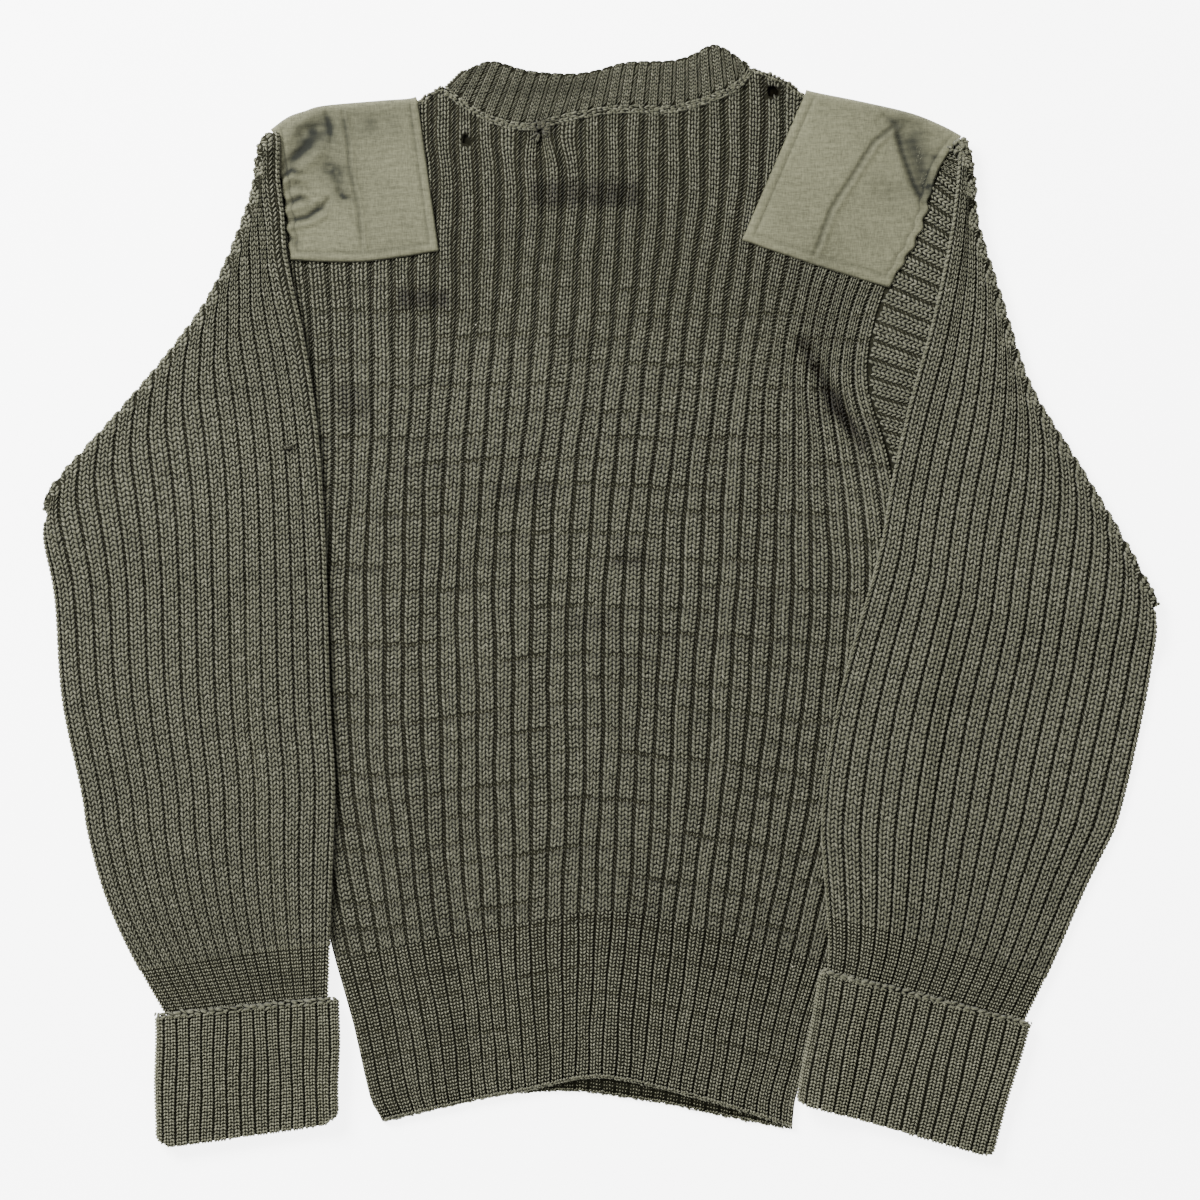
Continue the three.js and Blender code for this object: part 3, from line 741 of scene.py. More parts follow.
def round_skin(face, count, side=1):
    """The skin of a ring that has this many ribs, with its first column again at its end."""
    ring_ribs = np.append((np.arange(count)[:, None] + RIB_SHARES).ravel(), count)
    return skin_of(np.concatenate([face, face[:, :1]], axis=1), ring_ribs, side)


def drawn_in(path, room):
    """A line with its ends drawn in along it."""
    length = np.linalg.norm(np.diff(path, axis=0), axis=1).sum()
    return along(path, np.linspace(room / length, 1 - room / length, 60))


def ring_depth(count, fold_ribs=1):
    """How deep the cloth lies at each column of a flat ring with this many ribs on each layer."""
    return np.tile(RIB_DEPTH, 2 * (count + fold_ribs))


neck_ribs = rib_columns(NECK_RIBS)[0] / NECK_RIBS
shares = np.linspace(0, 1, 14)[:, None, None]


def band_half(seam, top, z):
    """One layer of the neckband, from its seam up to its fold."""
    low, high = along(drawn_in(seam, RIM), neck_ribs), along(drawn_in(top, RIM), neck_ribs)
    low = low - (high - low) * SEAM_OVERLAP
    place = low * (1 - shares) + high * shares
    return np.dstack([place, np.broadcast_to(z, place.shape[:2])])


edge_roll = 1.6 * np.clip((shares[..., 0] - 0.8) / 0.2, 0, 1) ** 2
band_top = LIFT + FLAT - CREST + 0.1
upper_band = band_half(NECK_BACK, BAND_BACK, band_top - edge_roll)
neck_face = ring_of(upper_band, band_half(NECK_FRONT, BAND_FRONT, LIFT + 0.5 + edge_roll))
band_outer, band_inner = sunk_by(neck_face, ring_depth(NECK_RIBS)), sunk_by(neck_face, 2.4)
neck_cloth = cloth("neckband_cloth", band_outer, band_inner, shaded_furrow_wool, ring=True)
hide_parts("neckband")
neck_skin = round_skin(neck_face, 2 * NECK_RIBS + 2)


def faces_up(place, normal):
    """All but the side that lies on the body."""
    return normal[..., 2] > -0.3


every_rib = range(2 * NECK_RIBS + 2)
neck_rows = np.arange(1, neck_skin.longest, NECK_ROW)
legs = v_stitches(neck_skin, every_rib, neck_rows, NECK_ROW, 0.155, shown=faces_up, seed=7)
neck_pieces = [strands("neckband_stitches", *legs, 0.85, body_wool)]
bars = furrow_strands(neck_skin, every_rib, np.arange(1, neck_skin.longest, 1.9), 0.155, 0.8, faces_up, 1.6,
                      wide=0.42, seed=7)
neck_pieces.append(strands("neckband_furrow_strands", *bars, 0.7, body_wool, spots=(0.5,)))
for number, (drop, pitch) in enumerate(((-0.4, 3.4), (-3.0, 3.1))):
    seam_path = np.column_stack([NECK_BACK + [0, drop], np.full(len(NECK_BACK), LIFT + FLAT - CREST + 0.3)])
    neck_pieces.append(chain(f"neck_seam_{number}", seam_path, pitch, 1.5, 1.1, body_wool, ragged=0.25,
                             seed=8 + number))

# Sleeves: tubes of the same rib, sewn to the armholes. Each lies beside the body, turns back over itself on
# a diagonal and runs down over the body's side, and its rib tightens at the wrist above the cuff.
SLEEVE_RIBS = 16
SLEEVE_ROW = 3.05
WRIST_ROW = 2.3
WRIST_DEPTH = 40
FIRST_RIBS = 23
FLAP_ROWS = 28
WRIST_FROM = 36
EASING_PASSES = 12
HIDDEN_ROWS = 12
TURN = LAYER
TURN_SHIFT = 0.05
SLEEVES = {
    "left": dict(
        outward=-1,
        armhole=ARMHOLE_LEFT,
        inner=LEFT_INNER,
        turn=line([-207.5, 306.5], [-215, 305.5], [-221, 301], [-224.5, 290], [-228.5, 262], [-250, 207.5],
                  [-276, 168.5], [-316.5, 120.3], [-355.5, 77.5], [-364.5, 58.5]),
        outer=line([-365.5, 60], [-366, 43], [-357, 0], [-351, -65], [-337, -130], [-330, -182],
                   [-307.5, -229]),
        cast_off=((-168.5, -259.5), (-289, -271.5)),
        fold=((-167.5, -340.5), (-289.5, -358)),
        wrist_room=3.5,
        corner=10,
    ),
    "right": dict(
        outward=1,
        armhole=ARMHOLE_RIGHT,
        inner=RIGHT_INNER,
        turn=line([234.5, 300.5], [240, 298.5], [243.8, 290], [246.5, 268], [248, 246], [264, 195],
                  [282.5, 140], [312, 91.5], [343.5, 39.5], [367, -3]),
        outer=line([367, -3], [366, -20], [358, -65], [339, -143], [325.5, -169], [312.5, -195],
                   [305.5, -221]),
        cast_off=((143, -241), (281, -277)),
        fold=((127, -326.5), (256.5, -363.5)),
        wrist_room=1.0,
        corner=5,
    ),
}


def sideways(path):
    """Unit vectors to the left of a line's direction."""
    way = unit(np.gradient(path, axis=0))
    return np.stack([-way[:, 1], way[:, 0]], axis=-1)


def straight(start, end, room):
    """A straight line between two points, drawn in at its ends."""
    return drawn_in(np.array([start, end], float), room)


def resting(plan, cut):
    """Height of a sleeve's middle, which is raised by the body, by its first stretch and by its cuff."""
    first_stretch = np.vstack([cut["armhole"][::-1], cut["turn"][::-1]])
    off = np.minimum(outside_of(body_outline, plan), outside_of(first_stretch, plan))
    start, end = np.array(cut["cast_off"], float)
    across_cuff = unit(end - start) * cut["outward"]
    past = (plan[..., 0] - start[0]) * across_cuff[1] - (plan[..., 1] - start[1]) * across_cuff[0]
    above = np.where(past > 0, 0, near_line(plan, start, end))
    on_body, on_cuff = FLAT * (1 - smooth((off - 16) / 26)), LAYER * (1 - smooth((above - 6) / 60))
    return RIM + on_body + on_cuff + lift(plan[..., 1])


sleeve_shares = rib_columns(SLEEVE_RIBS)[0] / SLEEVE_RIBS
inner_ribs = smooth(np.minimum(sleeve_shares, 1 - sleeve_shares) / 0.16)
for name, cut in SLEEVES.items():
    out = cut["outward"]
    armhole, turn = cut["armhole"][::-1], cut["turn"]
    seam = along(drawn_in(armhole - sideways(armhole) * out * 1.2, RIM), sleeve_shares - 0.08 * inner_ribs)
    centre_line = drawn_in(turn - sideways(turn) * out * (TURN + RIM), RIM)
    centre_line = along(centre_line, sleeve_shares)
    away = sideways(centre_line)
    edge = along(straight(*cut["cast_off"], RIM + LAYER + cut["wrist_room"]), sleeve_shares)
    rows, normals = [], []
    turned = along(centre_line, sleeve_shares - TURN_SHIFT * inner_ribs)
    for share in np.linspace(0, 1, 8)[:-1]:
        plan = seam * (1 - share) + turned * share
        rows.append(np.column_stack([plan, RIM + lift(plan[:, 1])]))
        normals.append(np.broadcast_to(-UP, rows[-1].shape))
    for angle in np.linspace(0, math.pi, 9):
        moved = sleeve_shares - TURN_SHIFT * (1 - angle / math.pi) * inner_ribs
        here = along(centre_line, moved)
        off = np.stack([np.interp(moved, sleeve_shares, away[:, k]) for k in range(2)], axis=-1)
        facing = off * out * math.sin(angle)
        z = RIM + lift(here[:, 1]) + TURN * (1 - math.cos(angle))
        rows.append(np.column_stack([here + facing * TURN, z]))
        normals.append(np.column_stack([facing, np.full(len(here), -math.cos(angle))]))
    chord = along(straight(cut["inner"][0], cut["outer"][0], RIM), sleeve_shares)
    for share in np.linspace(0, 1, FLAP_ROWS)[1:]:
        start = along(cut["inner"], [1 - (1 - share) ** 1.3])[0]
        end = along(cut["outer"], [share**1.4])[0]
        plan = along(straight(start, end, RIM), sleeve_shares) + (centre_line - chord) * (1 - share) ** 3
        rows.append(np.column_stack([plan, resting(plan, cut)]))
        normals.append(np.broadcast_to(UP, rows[-1].shape))
    wrist = rows[-1][:, :2]
    for share in (0.25, 0.5, 0.75, 1.0, 1.1):
        plan = wrist + (edge - wrist) * share
        rows.append(np.column_stack([plan, resting(plan, cut)]))
        normals.append(np.broadcast_to(UP, rows[-1].shape))
    lower = np.array(rows[WRIST_FROM:])
    for _ in range(EASING_PASSES):
        lower[1:-1] = lower[1:-1] * 0.5 + (lower[:-2] + lower[2:]) * 0.25
    rows[WRIST_FROM:] = lower
    centre, normal = np.array(rows)[::-1], np.array(normals)[::-1]
    radius = RIM - 0.65
    face = ring_of(centre + normal * radius, centre - normal * radius)
    hidden = np.arange(len(face))[:, None] > len(face) - HIDDEN_ROWS
    relief = np.where(hidden, 0.9, ring_depth(SLEEVE_RIBS) * 0.95)
    sleeve_outer, sleeve_inner = sunk_by(face, relief, out), sunk_by(face, 2.3, out)
    sleeve = cloth(f"sleeve_{name}_cloth", sleeve_outer, sleeve_inner, shaded_furrow_wool, ring=True)
    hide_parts(f"sleeve_{name}")
    count = 2 * SLEEVE_RIBS + 2
    skin = round_skin(face, count, out)

    def flap_shown(place, normal):
        """The part that is turned down, and round its edges."""
        from_elbow = np.linalg.norm(place[..., :2] - turn[-1], axis=-1)
        return normal[..., 2] > np.where(from_elbow < 14, 0.35, -0.4)

    def first_shown(place, normal):
        """What shows of the first stretch between the body and the part that is turned down over it."""
        low = place[..., 2] < RIM + lift(place[..., 1]) + 4
        inner_x = np.interp(-place[..., 1], -cut["inner"][:, 1], cut["inner"][:, 0])
        return low & (normal[..., 2] > 0.3) & (out * (place[..., 0] - inner_x) < 9) & (place[..., 1] > 60)

    long_rows = np.arange(WRIST_DEPTH, skin.longest, SLEEVE_ROW)
    turned_down = [*range(SLEEVE_RIBS + 1), count - 1]
    legs = v_stitches(skin, turned_down, long_rows, SLEEVE_ROW, 0.215, 4.5, shown=flap_shown, plump=0.39,
                      seed=11)
    pieces = [strands(f"sleeve_{name}_stitches", *legs, 0.95, body_wool)]
    wrist_rows = np.arange(2, WRIST_DEPTH - 1, WRIST_ROW)
    legs = v_stitches(skin, turned_down, wrist_rows, WRIST_ROW, 0.222, shown=flap_shown, rise=0.95,
                      plump=0.36, seed=12)
    pieces.append(strands(f"wrist_{name}_stitches", *legs, 0.9, rib_wool, spots=(0.5,)))
    bar_rows = np.arange(WRIST_DEPTH, skin.longest, 3.8)
    bars = furrow_strands(skin, turned_down, bar_rows, 0.2, 1.2, flap_shown, -1.2 * out, seed=13)
    pieces.append(strands(f"sleeve_{name}_furrow_strands", *bars, 0.5, shade_wool, spots=(0.5,)))

    def close_skin(rib, length):
        """The first stretch's skin, whose ribs lie closer together."""
        close = SLEEVE_RIBS / FIRST_RIBS
        place, normal, pitch, inside = skin(SLEEVE_RIBS + 1 + rib * close, length)
        return place, normal, pitch * close, inside

    legs = v_stitches(close_skin, range(FIRST_RIBS), long_rows, SLEEVE_ROW, 0.205, shown=first_shown, seed=14)
    pieces.append(strands(f"sleeve_{name}_top_stitches", *legs, 0.95, body_wool))
    first_furrows = range(1, FIRST_RIBS)
    bars = furrow_strands(close_skin, first_furrows, long_rows, 0.2, 0.9, first_shown, 1.2 * out, seed=15)
    pieces.append(strands(f"sleeve_{name}_top_furrow_strands", *bars, 0.4, shade_wool, spots=(0.5,)))
    if name == "left":
        level = resting(np.array([[-202.0, 100.0]]), cut)[0] + RIM
        loop = np.array([[-207, 101.5, 0], [-204.5, 99, 1.2], [-202, 98.5, 1.6], [-199, 100.5, 1.2],
                         [-197, 103, 0]]) + UP * level
        pieces.append(chain("sleeve_snag", loop, 2.2, 1.0, 1.0, body_wool, ragged=0.3, seed=16))
    else:
        level = 2 * RIM + TURN + lift(295.0) - 1
        loop = np.array([[229, 290, 0], [233, 296, 1.5], [237, 297.5, 2], [239.5, 295, 1], [239, 290.5, 0],
                         [236, 289, -0.5], [234, 292, 0.5], [236, 294, 2], [238, 291, -1],
                         [237, 284, -1]]) + UP * level
        pieces.append(chain("shoulder_knot", loop, 2.2, 3.3, 2.4, body_wool, ragged=0.25, seed=17))

# Cuffs: finer, deeper rib, turned back once over the wrist and cast off with a chain of loops. The turned
# part shows the inside of the knitting, so its ribs are the other side's furrows.
CUFF_RIBS = 13
CUFF_ROW = 2.15
CUFF_WIDE = 108
FOLD_MIDDLE = 3.3
FOLD_RADIUS = 2.9
BACK_RADIUS = 0.15
cuff_shares = rib_columns(CUFF_RIBS)[0] / CUFF_RIBS


def round_fold(place, normal):
    """All but what faces the floor."""
    return normal[..., 2] > -0.8


for name, cut in SLEEVES.items():
    out = cut["outward"]
    down = unit(np.sum(cut["fold"], axis=0) - np.sum(cut["cast_off"], axis=0))
    edge = along(straight(*cut["cast_off"], RIM + LAYER), cuff_shares)
    fold_shares = cuff_shares + 0.014 * np.sin(9 * cuff_shares + 1) * np.sin(math.pi * cuff_shares)
    end = along(straight(*cut["fold"], RIM + LAYER), fold_shares) - down * RIM
    from_side = np.minimum(cuff_shares, 1 - cuff_shares) * CUFF_WIDE + 3
    corner = np.clip(1 - from_side / cut["corner"], 0, 1)
    end = end - down * cut["corner"] * (1 - np.sqrt(1 - corner**2))[:, None]
    # Each row has the face's place and height, the back's place and height, and how deep its ribs are
    rows = []
    for share in np.linspace(0.1, 1, 5)[:-1]:
        plan = edge + (end - edge) * share
        rows.append((plan, 0.3, plan, 3.1, 0))
    for angle in np.linspace(0, math.pi, 8):
        drop, ahead = math.cos(angle), down * math.sin(angle)
        plan, back_plan = end + ahead * FOLD_RADIUS, end + ahead * BACK_RADIUS
        high, back_high = FOLD_MIDDLE - FOLD_RADIUS * drop, FOLD_MIDDLE - BACK_RADIUS * drop
        rows.append((plan, high, back_plan, back_high, 0.5 - 0.5 * drop))
    for share in np.linspace(1, 0, 14)[1:]:
        waver = 0.7 * math.sin(math.pi * share) * np.sin(5 * share + 14 * cuff_shares)
        plan = edge + (end - edge) * share + waver[:, None] * [1, 0]
        rows.append((plan, 6.0, plan, 3.5, 1))
    faces, backs = [], []
    for plan, high, back_plan, back_high, _ in rows:
        z = resting(plan, cut)
        faces.append([np.column_stack([plan, z + off]) for off in (high, -high)])
        backs.append([np.column_stack([back_plan, z + off]) for off in (back_high, -back_high)])
    faces, backs = np.array(faces), np.array(backs)
    face = ring_of(faces[:, 0], faces[:, 1], 2)
    back = ring_of(backs[:, 0], backs[:, 1], 2)
    relief = np.array([row[-1] for row in rows])[:, None] * ring_depth(CUFF_RIBS, 2)
    cuff = cloth(f"cuff_{name}_cloth", sunk_by(face, relief, out), back, shaded_furrow_wool, ring=True)
    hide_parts(f"cuff_{name}")
    count = 2 * CUFF_RIBS + 4
    shown_face = face[::-1][:18]
    skin = round_skin(shown_face, count, -out)
    cuff_rows = np.arange(1, skin.longest, CUFF_ROW)
    legs = v_stitches(skin, range(count), cuff_rows, CUFF_ROW, 0.222, shown=round_fold, rise=0.95, plump=0.34,
                      seed=21)
    pieces = [strands(f"cuff_{name}_stitches", *legs, 0.95, rib_wool)]
    rim = shown_face[0][: CUFF_RIBS * 6 + 7]
    rim = np.vstack([shown_face[0][-6:], rim]) + np.array([0, 0, -0.4]) - np.append(down * 0.6, 0)
    scallop = 0.9 * np.sin(np.arange(len(rim)) / 6 * math.tau)
    rim = rim + scallop[:, None] * np.append(down, 0.4)
    pieces.append(chain(f"cuff_{name}_cast_off", rim, 5.0, 2.3, 1.7, body_wool, ragged=0.2, seed=22))

# Shoulder patches: woven cotton, wrapped over the shoulders and sewn down through turned hems. The left one
# has puckered where its outer edge is gathered into the armhole, and both have creased with wear.
# Each fold is a line of places, how high it stands (or how deep it sinks), how wide it is, and its painted
# shade.
PATCH_THICK = 0.9
PATCH_RISE = 1.0
SHOULDER_ROUND = 4.45
PATCH_WIDE = 105
SEWING_PITCH = 2.6
SEWING_STITCH = 1.7
PATCHES = {
    "left": dict(
        shoulder=SHOULDER_LEFT, cover=(0.02, 0.84), back=line([-201, 221], [-153, 220], [-104, 227]),
        front=line([-200, 250], [-160, 252], [-122, 262]), bulge=0, shade_and_grime=0.15,
        folds=(
            (((-181, 306), (-192, 304)), -2.4, 5, 0.6),
            (((-184, 301), (-189, 296), (-204, 282)), -2.6, 2.6, 0.85),
            (((-191, 311), (-203, 300)), 1.6, 5, 0),
            (((-179, 319), (-175, 309), (-174, 298)), -1.3, 1.5, 0.6),
            (((-182, 290), (-198, 277)), 1.6, 4, 0),
            (((-167, 318), (-163, 297), (-162.5, 282), (-157, 258), (-154, 229)), -0.8, 1.0, 0.35),
            (((-165, 318), (-160.5, 297), (-160, 282), (-154.5, 258), (-151.5, 229)), 0.6, 1.3, 0),
            (((-175, 281), (-171, 278)), -1.0, 4, 0.6),
            (((-170, 276), (-168, 267)), -0.9, 2.5, 0.3),
            (((-169, 266), (-166, 262), (-162, 261)), -1.6, 1.3, 0.85),
            (((-207, 274), (-200, 279.5), (-193, 277)), -1.8, 1.3, 0.8),
            (((-207, 270), (-199, 275), (-191, 272)), 1.3, 1.7, 0),
            (((-205, 266), (-196, 270), (-189, 266)), -1.0, 1.2, 0.35),
            (((-204, 257), (-194, 261.5), (-188, 259)), -1.9, 1.4, 0.85),
            (((-203, 253), (-192, 256.5), (-184, 259)), 1.3, 1.7, 0),
            (((-203, 246), (-190, 249), (-180, 255.5), (-176, 260)), -1.9, 1.4, 0.85),
            (((-202, 241.5), (-189, 244.5), (-178, 250)), 1.2, 2.0, 0),
            (((-202, 236), (-197, 233)), -1.2, 1.3, 0.6),
            (((-158, 311), (-140, 309)), -0.7, 6, 0.45),
            (((-140, 268), (-108, 266)), -0.3, 0.8, 0.12),
        ),
    ),
    "right": dict(
        shoulder=SHOULDER_RIGHT, cover=(0.275, 1.0), back=line([93, 234], [140, 218], [189, 203]),
        front=line([128, 262], [165, 252], [203, 248]), bulge=4, shade_and_grime=0.03,
        folds=(
            (((193, 309), (179, 298), (165, 276), (151, 254), (140.5, 225)), -1.2, 1.3, 0.5),
            (((195, 307), (182, 297), (168, 275), (154, 253), (143.5, 225)), 0.9, 2.0, 0),
            (((193, 309), (197, 292), (205, 270), (212, 257)), -1.3, 1.3, 0.55),
            (((191, 300), (200, 270), (208, 257)), 1.0, 2.2, 0),
            (((200, 306), (207, 290), (213, 270)), -2.2, 5.5, 0.75),
            (((212, 270), (216, 268)), -1.5, 1.8, 0.8),
            (((207, 283), (220, 277)), 0.9, 1.6, 0),
            (((214, 290), (222, 286)), -0.8, 1.6, 0.4),
            (((185, 315), (195, 309)), -1.2, 1.4, 0.5),
            (((173, 316), (179, 313)), 0.8, 1.4, 0.1),
            (((183, 268), (192, 264)), -0.6, 5, 0.3),
            (((205, 308), (216, 300)), -0.6, 4, 0.25),
        ),
    ),
}


def cotton_material():
    """Plain woven cotton: a fine over-and-under weave with slubs, faded in clouds, with painted shade in its
    folds and hems.
    """
    material = bpy.data.materials.new("olive cotton")
    material.use_nodes = True
    nodes, links = material.node_tree.nodes, material.node_tree.links
    shader = nodes["Principled BSDF"]
    weave = nodes.new("ShaderNodeGroup")
    weave.node_tree = weave_group()
    soil_shade_input = nodes.new("ShaderNodeAttribute")
    soil_shade_input.attribute_name = "fold soil and shade"
    links.new(soil_shade_input.outputs["Fac"], weave.inputs["Soil and Shade"])
    weave.inputs["Dark"].default_value = (0.062, 0.062, 0.037, 1)
    weave.inputs["Light"].default_value = (0.128, 0.127, 0.077, 1)
    # Near-black colour of the painted shade in the folds
    weave.inputs["Soiled and Shaded"].default_value = (0.007, 0.008, 0.005, 1)
    links.new(weave.outputs["Color"], shader.inputs["Base Color"])
    shader.inputs["Roughness"].default_value = 0.85
    shader.inputs["Specular IOR Level"].default_value = 0.25
    height = nodes.new("ShaderNodeBump")
    height.inputs["Strength"].default_value = 0.5
    height.inputs["Distance"].default_value = 0.0003
    links.new(weave.outputs["Height"], height.inputs["Height"])
    links.new(height.outputs["Normal"], shader.inputs["Normal"])
    return material


def weave_group():
    """The weave's colour and height."""
    group = bpy.data.node_groups.new("cotton weave", "ShaderNodeTree")
    face = group.interface
    for label in ("Dark", "Light", "Soiled and Shaded"):
        face.new_socket(label, in_out="INPUT", socket_type="NodeSocketColor")
    face.new_socket("Soil and Shade", in_out="INPUT", socket_type="NodeSocketFloat")
    face.new_socket("Color", in_out="OUTPUT", socket_type="NodeSocketColor")
    face.new_socket("Height", in_out="OUTPUT", socket_type="NodeSocketFloat")
    nodes, links = group.nodes, group.links
    inputs, outputs = nodes.new("NodeGroupInput"), nodes.new("NodeGroupOutput")
    coords = nodes.new("ShaderNodeTexCoord")
    parts = []
    for scale, detail in (((1500, 260, 300), 2), ((240, 1300, 300), 2), ((16, 16, 16), 4)):
        stretch = nodes.new("ShaderNodeMapping")
        stretch.inputs["Scale"].default_value = scale
        noise = nodes.new("ShaderNodeTexNoise")
        noise.inputs["Scale"].default_value = 1
        noise.inputs["Detail"].default_value = detail
        links.new(coords.outputs["Object"], stretch.inputs["Vector"])
        links.new(stretch.outputs["Vector"], noise.inputs["Vector"])
        parts.append(noise.outputs["Fac"])
    threads = nodes.new("ShaderNodeMath")
    threads.operation = "ADD"
    links.new(parts[0], threads.inputs[0])
    links.new(parts[1], threads.inputs[1])
    cloudy = nodes.new("ShaderNodeMath")
    cloudy.operation = "MULTIPLY_ADD"
    cloudy.inputs[1].default_value = 0.8
    links.new(parts[2], cloudy.inputs[0])
    links.new(threads.outputs[0], cloudy.inputs[2])
    share = nodes.new("ShaderNodeMapRange")
    share.inputs["From Min"].default_value = 1.05
    share.inputs["From Max"].default_value = 1.75
    links.new(cloudy.outputs[0], share.inputs["Value"])
    base, soil_shade = nodes.new("ShaderNodeMix"), nodes.new("ShaderNodeMix")
    base.data_type = soil_shade.data_type = "RGBA"
    links.new(share.outputs["Result"], base.inputs[0])
    links.new(inputs.outputs["Dark"], base.inputs[6])
    links.new(inputs.outputs["Light"], base.inputs[7])
    links.new(inputs.outputs["Soil and Shade"], soil_shade.inputs[0])
    links.new(base.outputs[2], soil_shade.inputs[6])
    links.new(inputs.outputs["Soiled and Shaded"], soil_shade.inputs[7])
    links.new(soil_shade.outputs[2], outputs.inputs["Color"])
    links.new(threads.outputs[0], outputs.inputs["Height"])
    return group


cotton = cotton_material()
thread = wool("olive sewing thread", (0.03, 0.03, 0.018), (0.07, 0.07, 0.045), (0.1, 0.1, 0.07), 0.1, 0.1)
for name, cut in PATCHES.items():
    columns = np.linspace(0, 1, 86)
    edge = along(cut["shoulder"], cut["cover"][0] + (cut["cover"][1] - cut["cover"][0]) * columns)
    off = sideways(edge)
    hem = along(cut["back"], columns)
    rows, soil_shade = [], []
    outer_side = PATCH_WIDE * (columns if name == "left" else 1 - columns)
    outward = SLEEVES[name]["outward"]
    for share in np.linspace(0, 1, 72)[:-1]:
        plan = hem * (1 - share) + edge * share
        near_edge = np.exp(-((outer_side / 30) ** 2))
        plan[:, 0] += outward * cut["bulge"] * math.sin(math.tau * share**1.3) * near_edge
        gather = np.exp(-((outer_side / 10) ** 2)) * smooth(share * 6) * smooth((0.75 - share) * 5)
        plan[:, 0] += outward * gather * (1.1 * np.sin(plan[:, 1] / 1.9) - 0.8)
        z = FLAT + lift(plan[:, 1]) + PATCH_RISE
        # An even darkening of the whole patch, and then painted shade along each fold
        dark = np.full(len(plan), float(cut["shade_and_grime"]))
        for path, high, wide, shade_and_grime in cut["folds"]:
            pairs = [near_line(plan, start, finish) for start, finish in zip(path[:-1], path[1:])]
            near = np.min(pairs, axis=0) / wide
            from_ends = np.minimum(*(np.hypot(*(plan - end).T) for end in (path[0], path[-1])))
            fade = 0.3 + 0.7 * smooth(from_ends / min(9, 0.5 * math.dist(path[0], path[-1])))
            z = z + high * np.exp(-(near**2))
            # Painted shade along the fold, softer towards its ends
            dark += shade_and_grime * fade * (0.6 * np.exp(-(near**2)) + 0.5 * np.exp(-((near / 2.4) ** 2)))
        inset = np.minimum(np.minimum(columns, 1 - columns) * 100, share * 95)
        slubs = np.sin(plan[:, 1] / 0.8 + 2 * np.sin(plan[:, 0] / 9))
        z = z - 0.8 * np.clip(1 - inset / 1.2, 0, 1) ** 2 - 0.5 * np.exp(-(((inset - 6) / 0.9) ** 2))
        z = z + 0.2 * np.exp(-(((inset - 3.2) / 2) ** 2)) + 0.15 * slubs
        # Painted shade in the sewn hem's groove and at the turned-under edge
        dark += 0.35 * np.exp(-(((inset - 6) / 0.8) ** 2)) + 0.3 * np.exp(-((inset / 0.9) ** 2))
        dark += 0.05 * slubs + 0.04 * np.sin(plan[:, 0] / 14 + plan[:, 1] / 21)
        rows.append(np.column_stack([plan, np.maximum(z, FLAT + lift(plan[:, 1]) - 0.6)]))
        soil_shade.append(dark)
    for angle in np.linspace(0, math.pi, 10):
        place = edge + off * SHOULDER_ROUND * math.sin(angle)
        level = SHOULDER_ROUND + (SHOULDER_ROUND - ON_FLOOR) * math.cos(angle)
        rows.append(np.column_stack([place, np.full(len(edge), level)]))
        soil_shade.append(soil_shade[-1] * 0.8)
    hem_front = along(cut["front"], columns)
    for share in np.linspace(1, 0, 8)[1:]:
        plan = hem_front * (1 - share) + edge * share
        rows.append(np.column_stack([plan, np.full(len(plan), ON_FLOOR)]))
        soil_shade.append(soil_shade[-1] * 0.8)
    face = np.array(rows)
    normal = unit(np.cross(unit(np.gradient(face, axis=1)), unit(np.gradient(face, axis=0))))
    under = face - normal * PATCH_THICK
    patch = cloth(f"shoulder_patch_{name}_cloth", face, under, cotton)
    values = np.tile(np.clip(np.array(soil_shade).ravel(), 0, 1), 2).astype(np.float32)
    patch.data.attributes.new("fold soil and shade", "FLOAT", "POINT").data.foreach_set("value", values)
    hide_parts(f"shoulder_patch_{name}")
    columns_inside = (columns > 0.06) & (columns < 0.94)
    starts, ends = [], []
    for seam in (face[5, columns_inside], face[5:63, 5], face[5:63, -6]):
        length = np.linalg.norm(np.diff(seam, axis=0), axis=1).sum()
        spots = np.arange(1, int(length / SEWING_PITCH)) * SEWING_PITCH / length
        starts.append(along(seam, spots))
        ends.append(along(seam, spots + SEWING_STITCH / length))
    starts, ends = np.concatenate(starts), np.concatenate(ends)
    upward = np.broadcast_to(UP, starts.shape)
    sewing = strands(f"patch_{name}_sewing", starts, ends, upward, 0.25, 0.3, thread, (0.5,), "woven_cotton")

# Stage: a plain pale floor that glows a little, an even white surround and one large soft lamp at the upper
# left. The camera looks straight down.
FLOOR_HALF = 3
CAMERA_HEIGHT = 2.4
VIEW_WIDTH = 0.78
FILM_WIDTH = 36
floor_mesh = bpy.data.meshes.new("floor")
corners = [(x * FLOOR_HALF, y * FLOOR_HALF, 0) for x, y in ((-1, -1), (1, -1), (1, 1), (-1, 1))]
floor_mesh.from_pydata(corners, [], [(0, 1, 2, 3)])
floor = bpy.data.objects.new("floor", floor_mesh)
bpy.context.collection.objects.link(floor)
floor_material = bpy.data.materials.new("pale floor")
floor_material.use_nodes = True
floor_shader = floor_material.node_tree.nodes["Principled BSDF"]
floor_shader.inputs["Base Color"].default_value = (0.9, 0.9, 0.9, 1)
floor_shader.inputs["Roughness"].default_value = 0.9
floor_shader.inputs["Emission Color"].default_value = (1, 1, 1, 1)
floor_shader.inputs["Emission Strength"].default_value = 5
floor_mesh.materials.append(floor_material)

camera_data = bpy.data.cameras.new("camera")
camera = bpy.data.objects.new("camera", camera_data)
bpy.context.collection.objects.link(camera)
camera_data.sensor_width = FILM_WIDTH
camera_data.lens = FILM_WIDTH * (CAMERA_HEIGHT - 0.01) / VIEW_WIDTH
camera.location = (0.0007, 0, CAMERA_HEIGHT)
bpy.context.scene.camera = camera

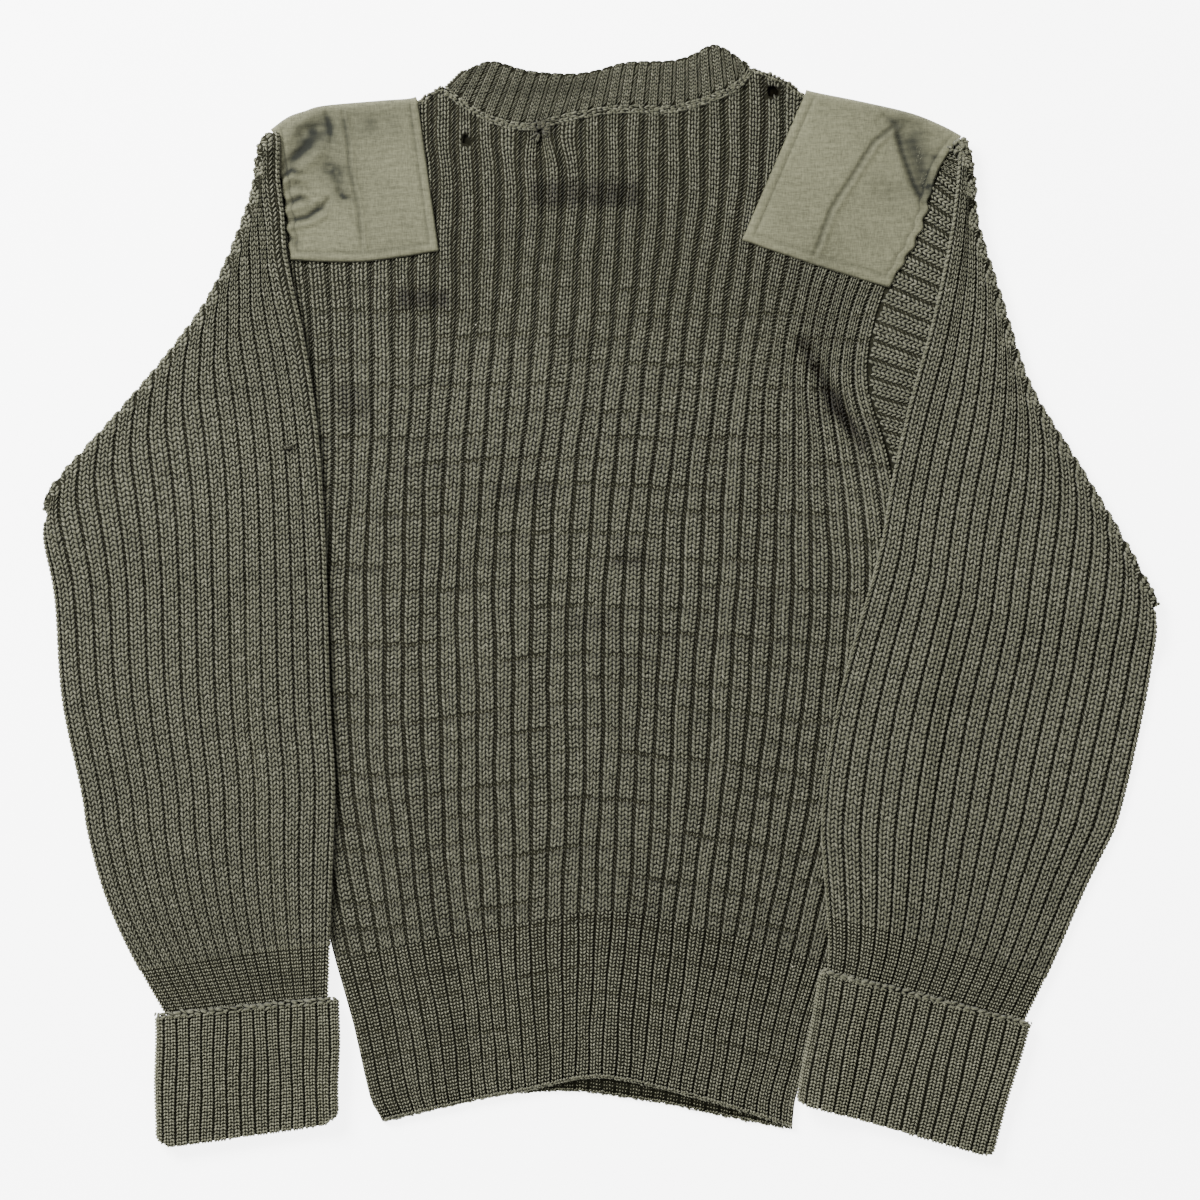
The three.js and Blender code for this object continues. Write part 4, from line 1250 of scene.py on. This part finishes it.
world = bpy.data.worlds.new("studio")
world.use_nodes = True
surround = world.node_tree.nodes["Background"]
surround.inputs["Color"].default_value = (1, 1, 1, 1)
surround.inputs["Strength"].default_value = 0.95
bpy.context.scene.world = world

lamp = bpy.data.lights.new("key", "AREA")
lamp.shape = "SQUARE"
lamp.size = 1.1
lamp.energy = 200
lamp_object = bpy.data.objects.new("key", lamp)
bpy.context.collection.objects.link(lamp_object)
lamp_object.location = (-1.2, 1.3, 1.7)
lamp_object.rotation_euler = (-lamp_object.location).to_track_quat("-Z", "Y").to_euler()
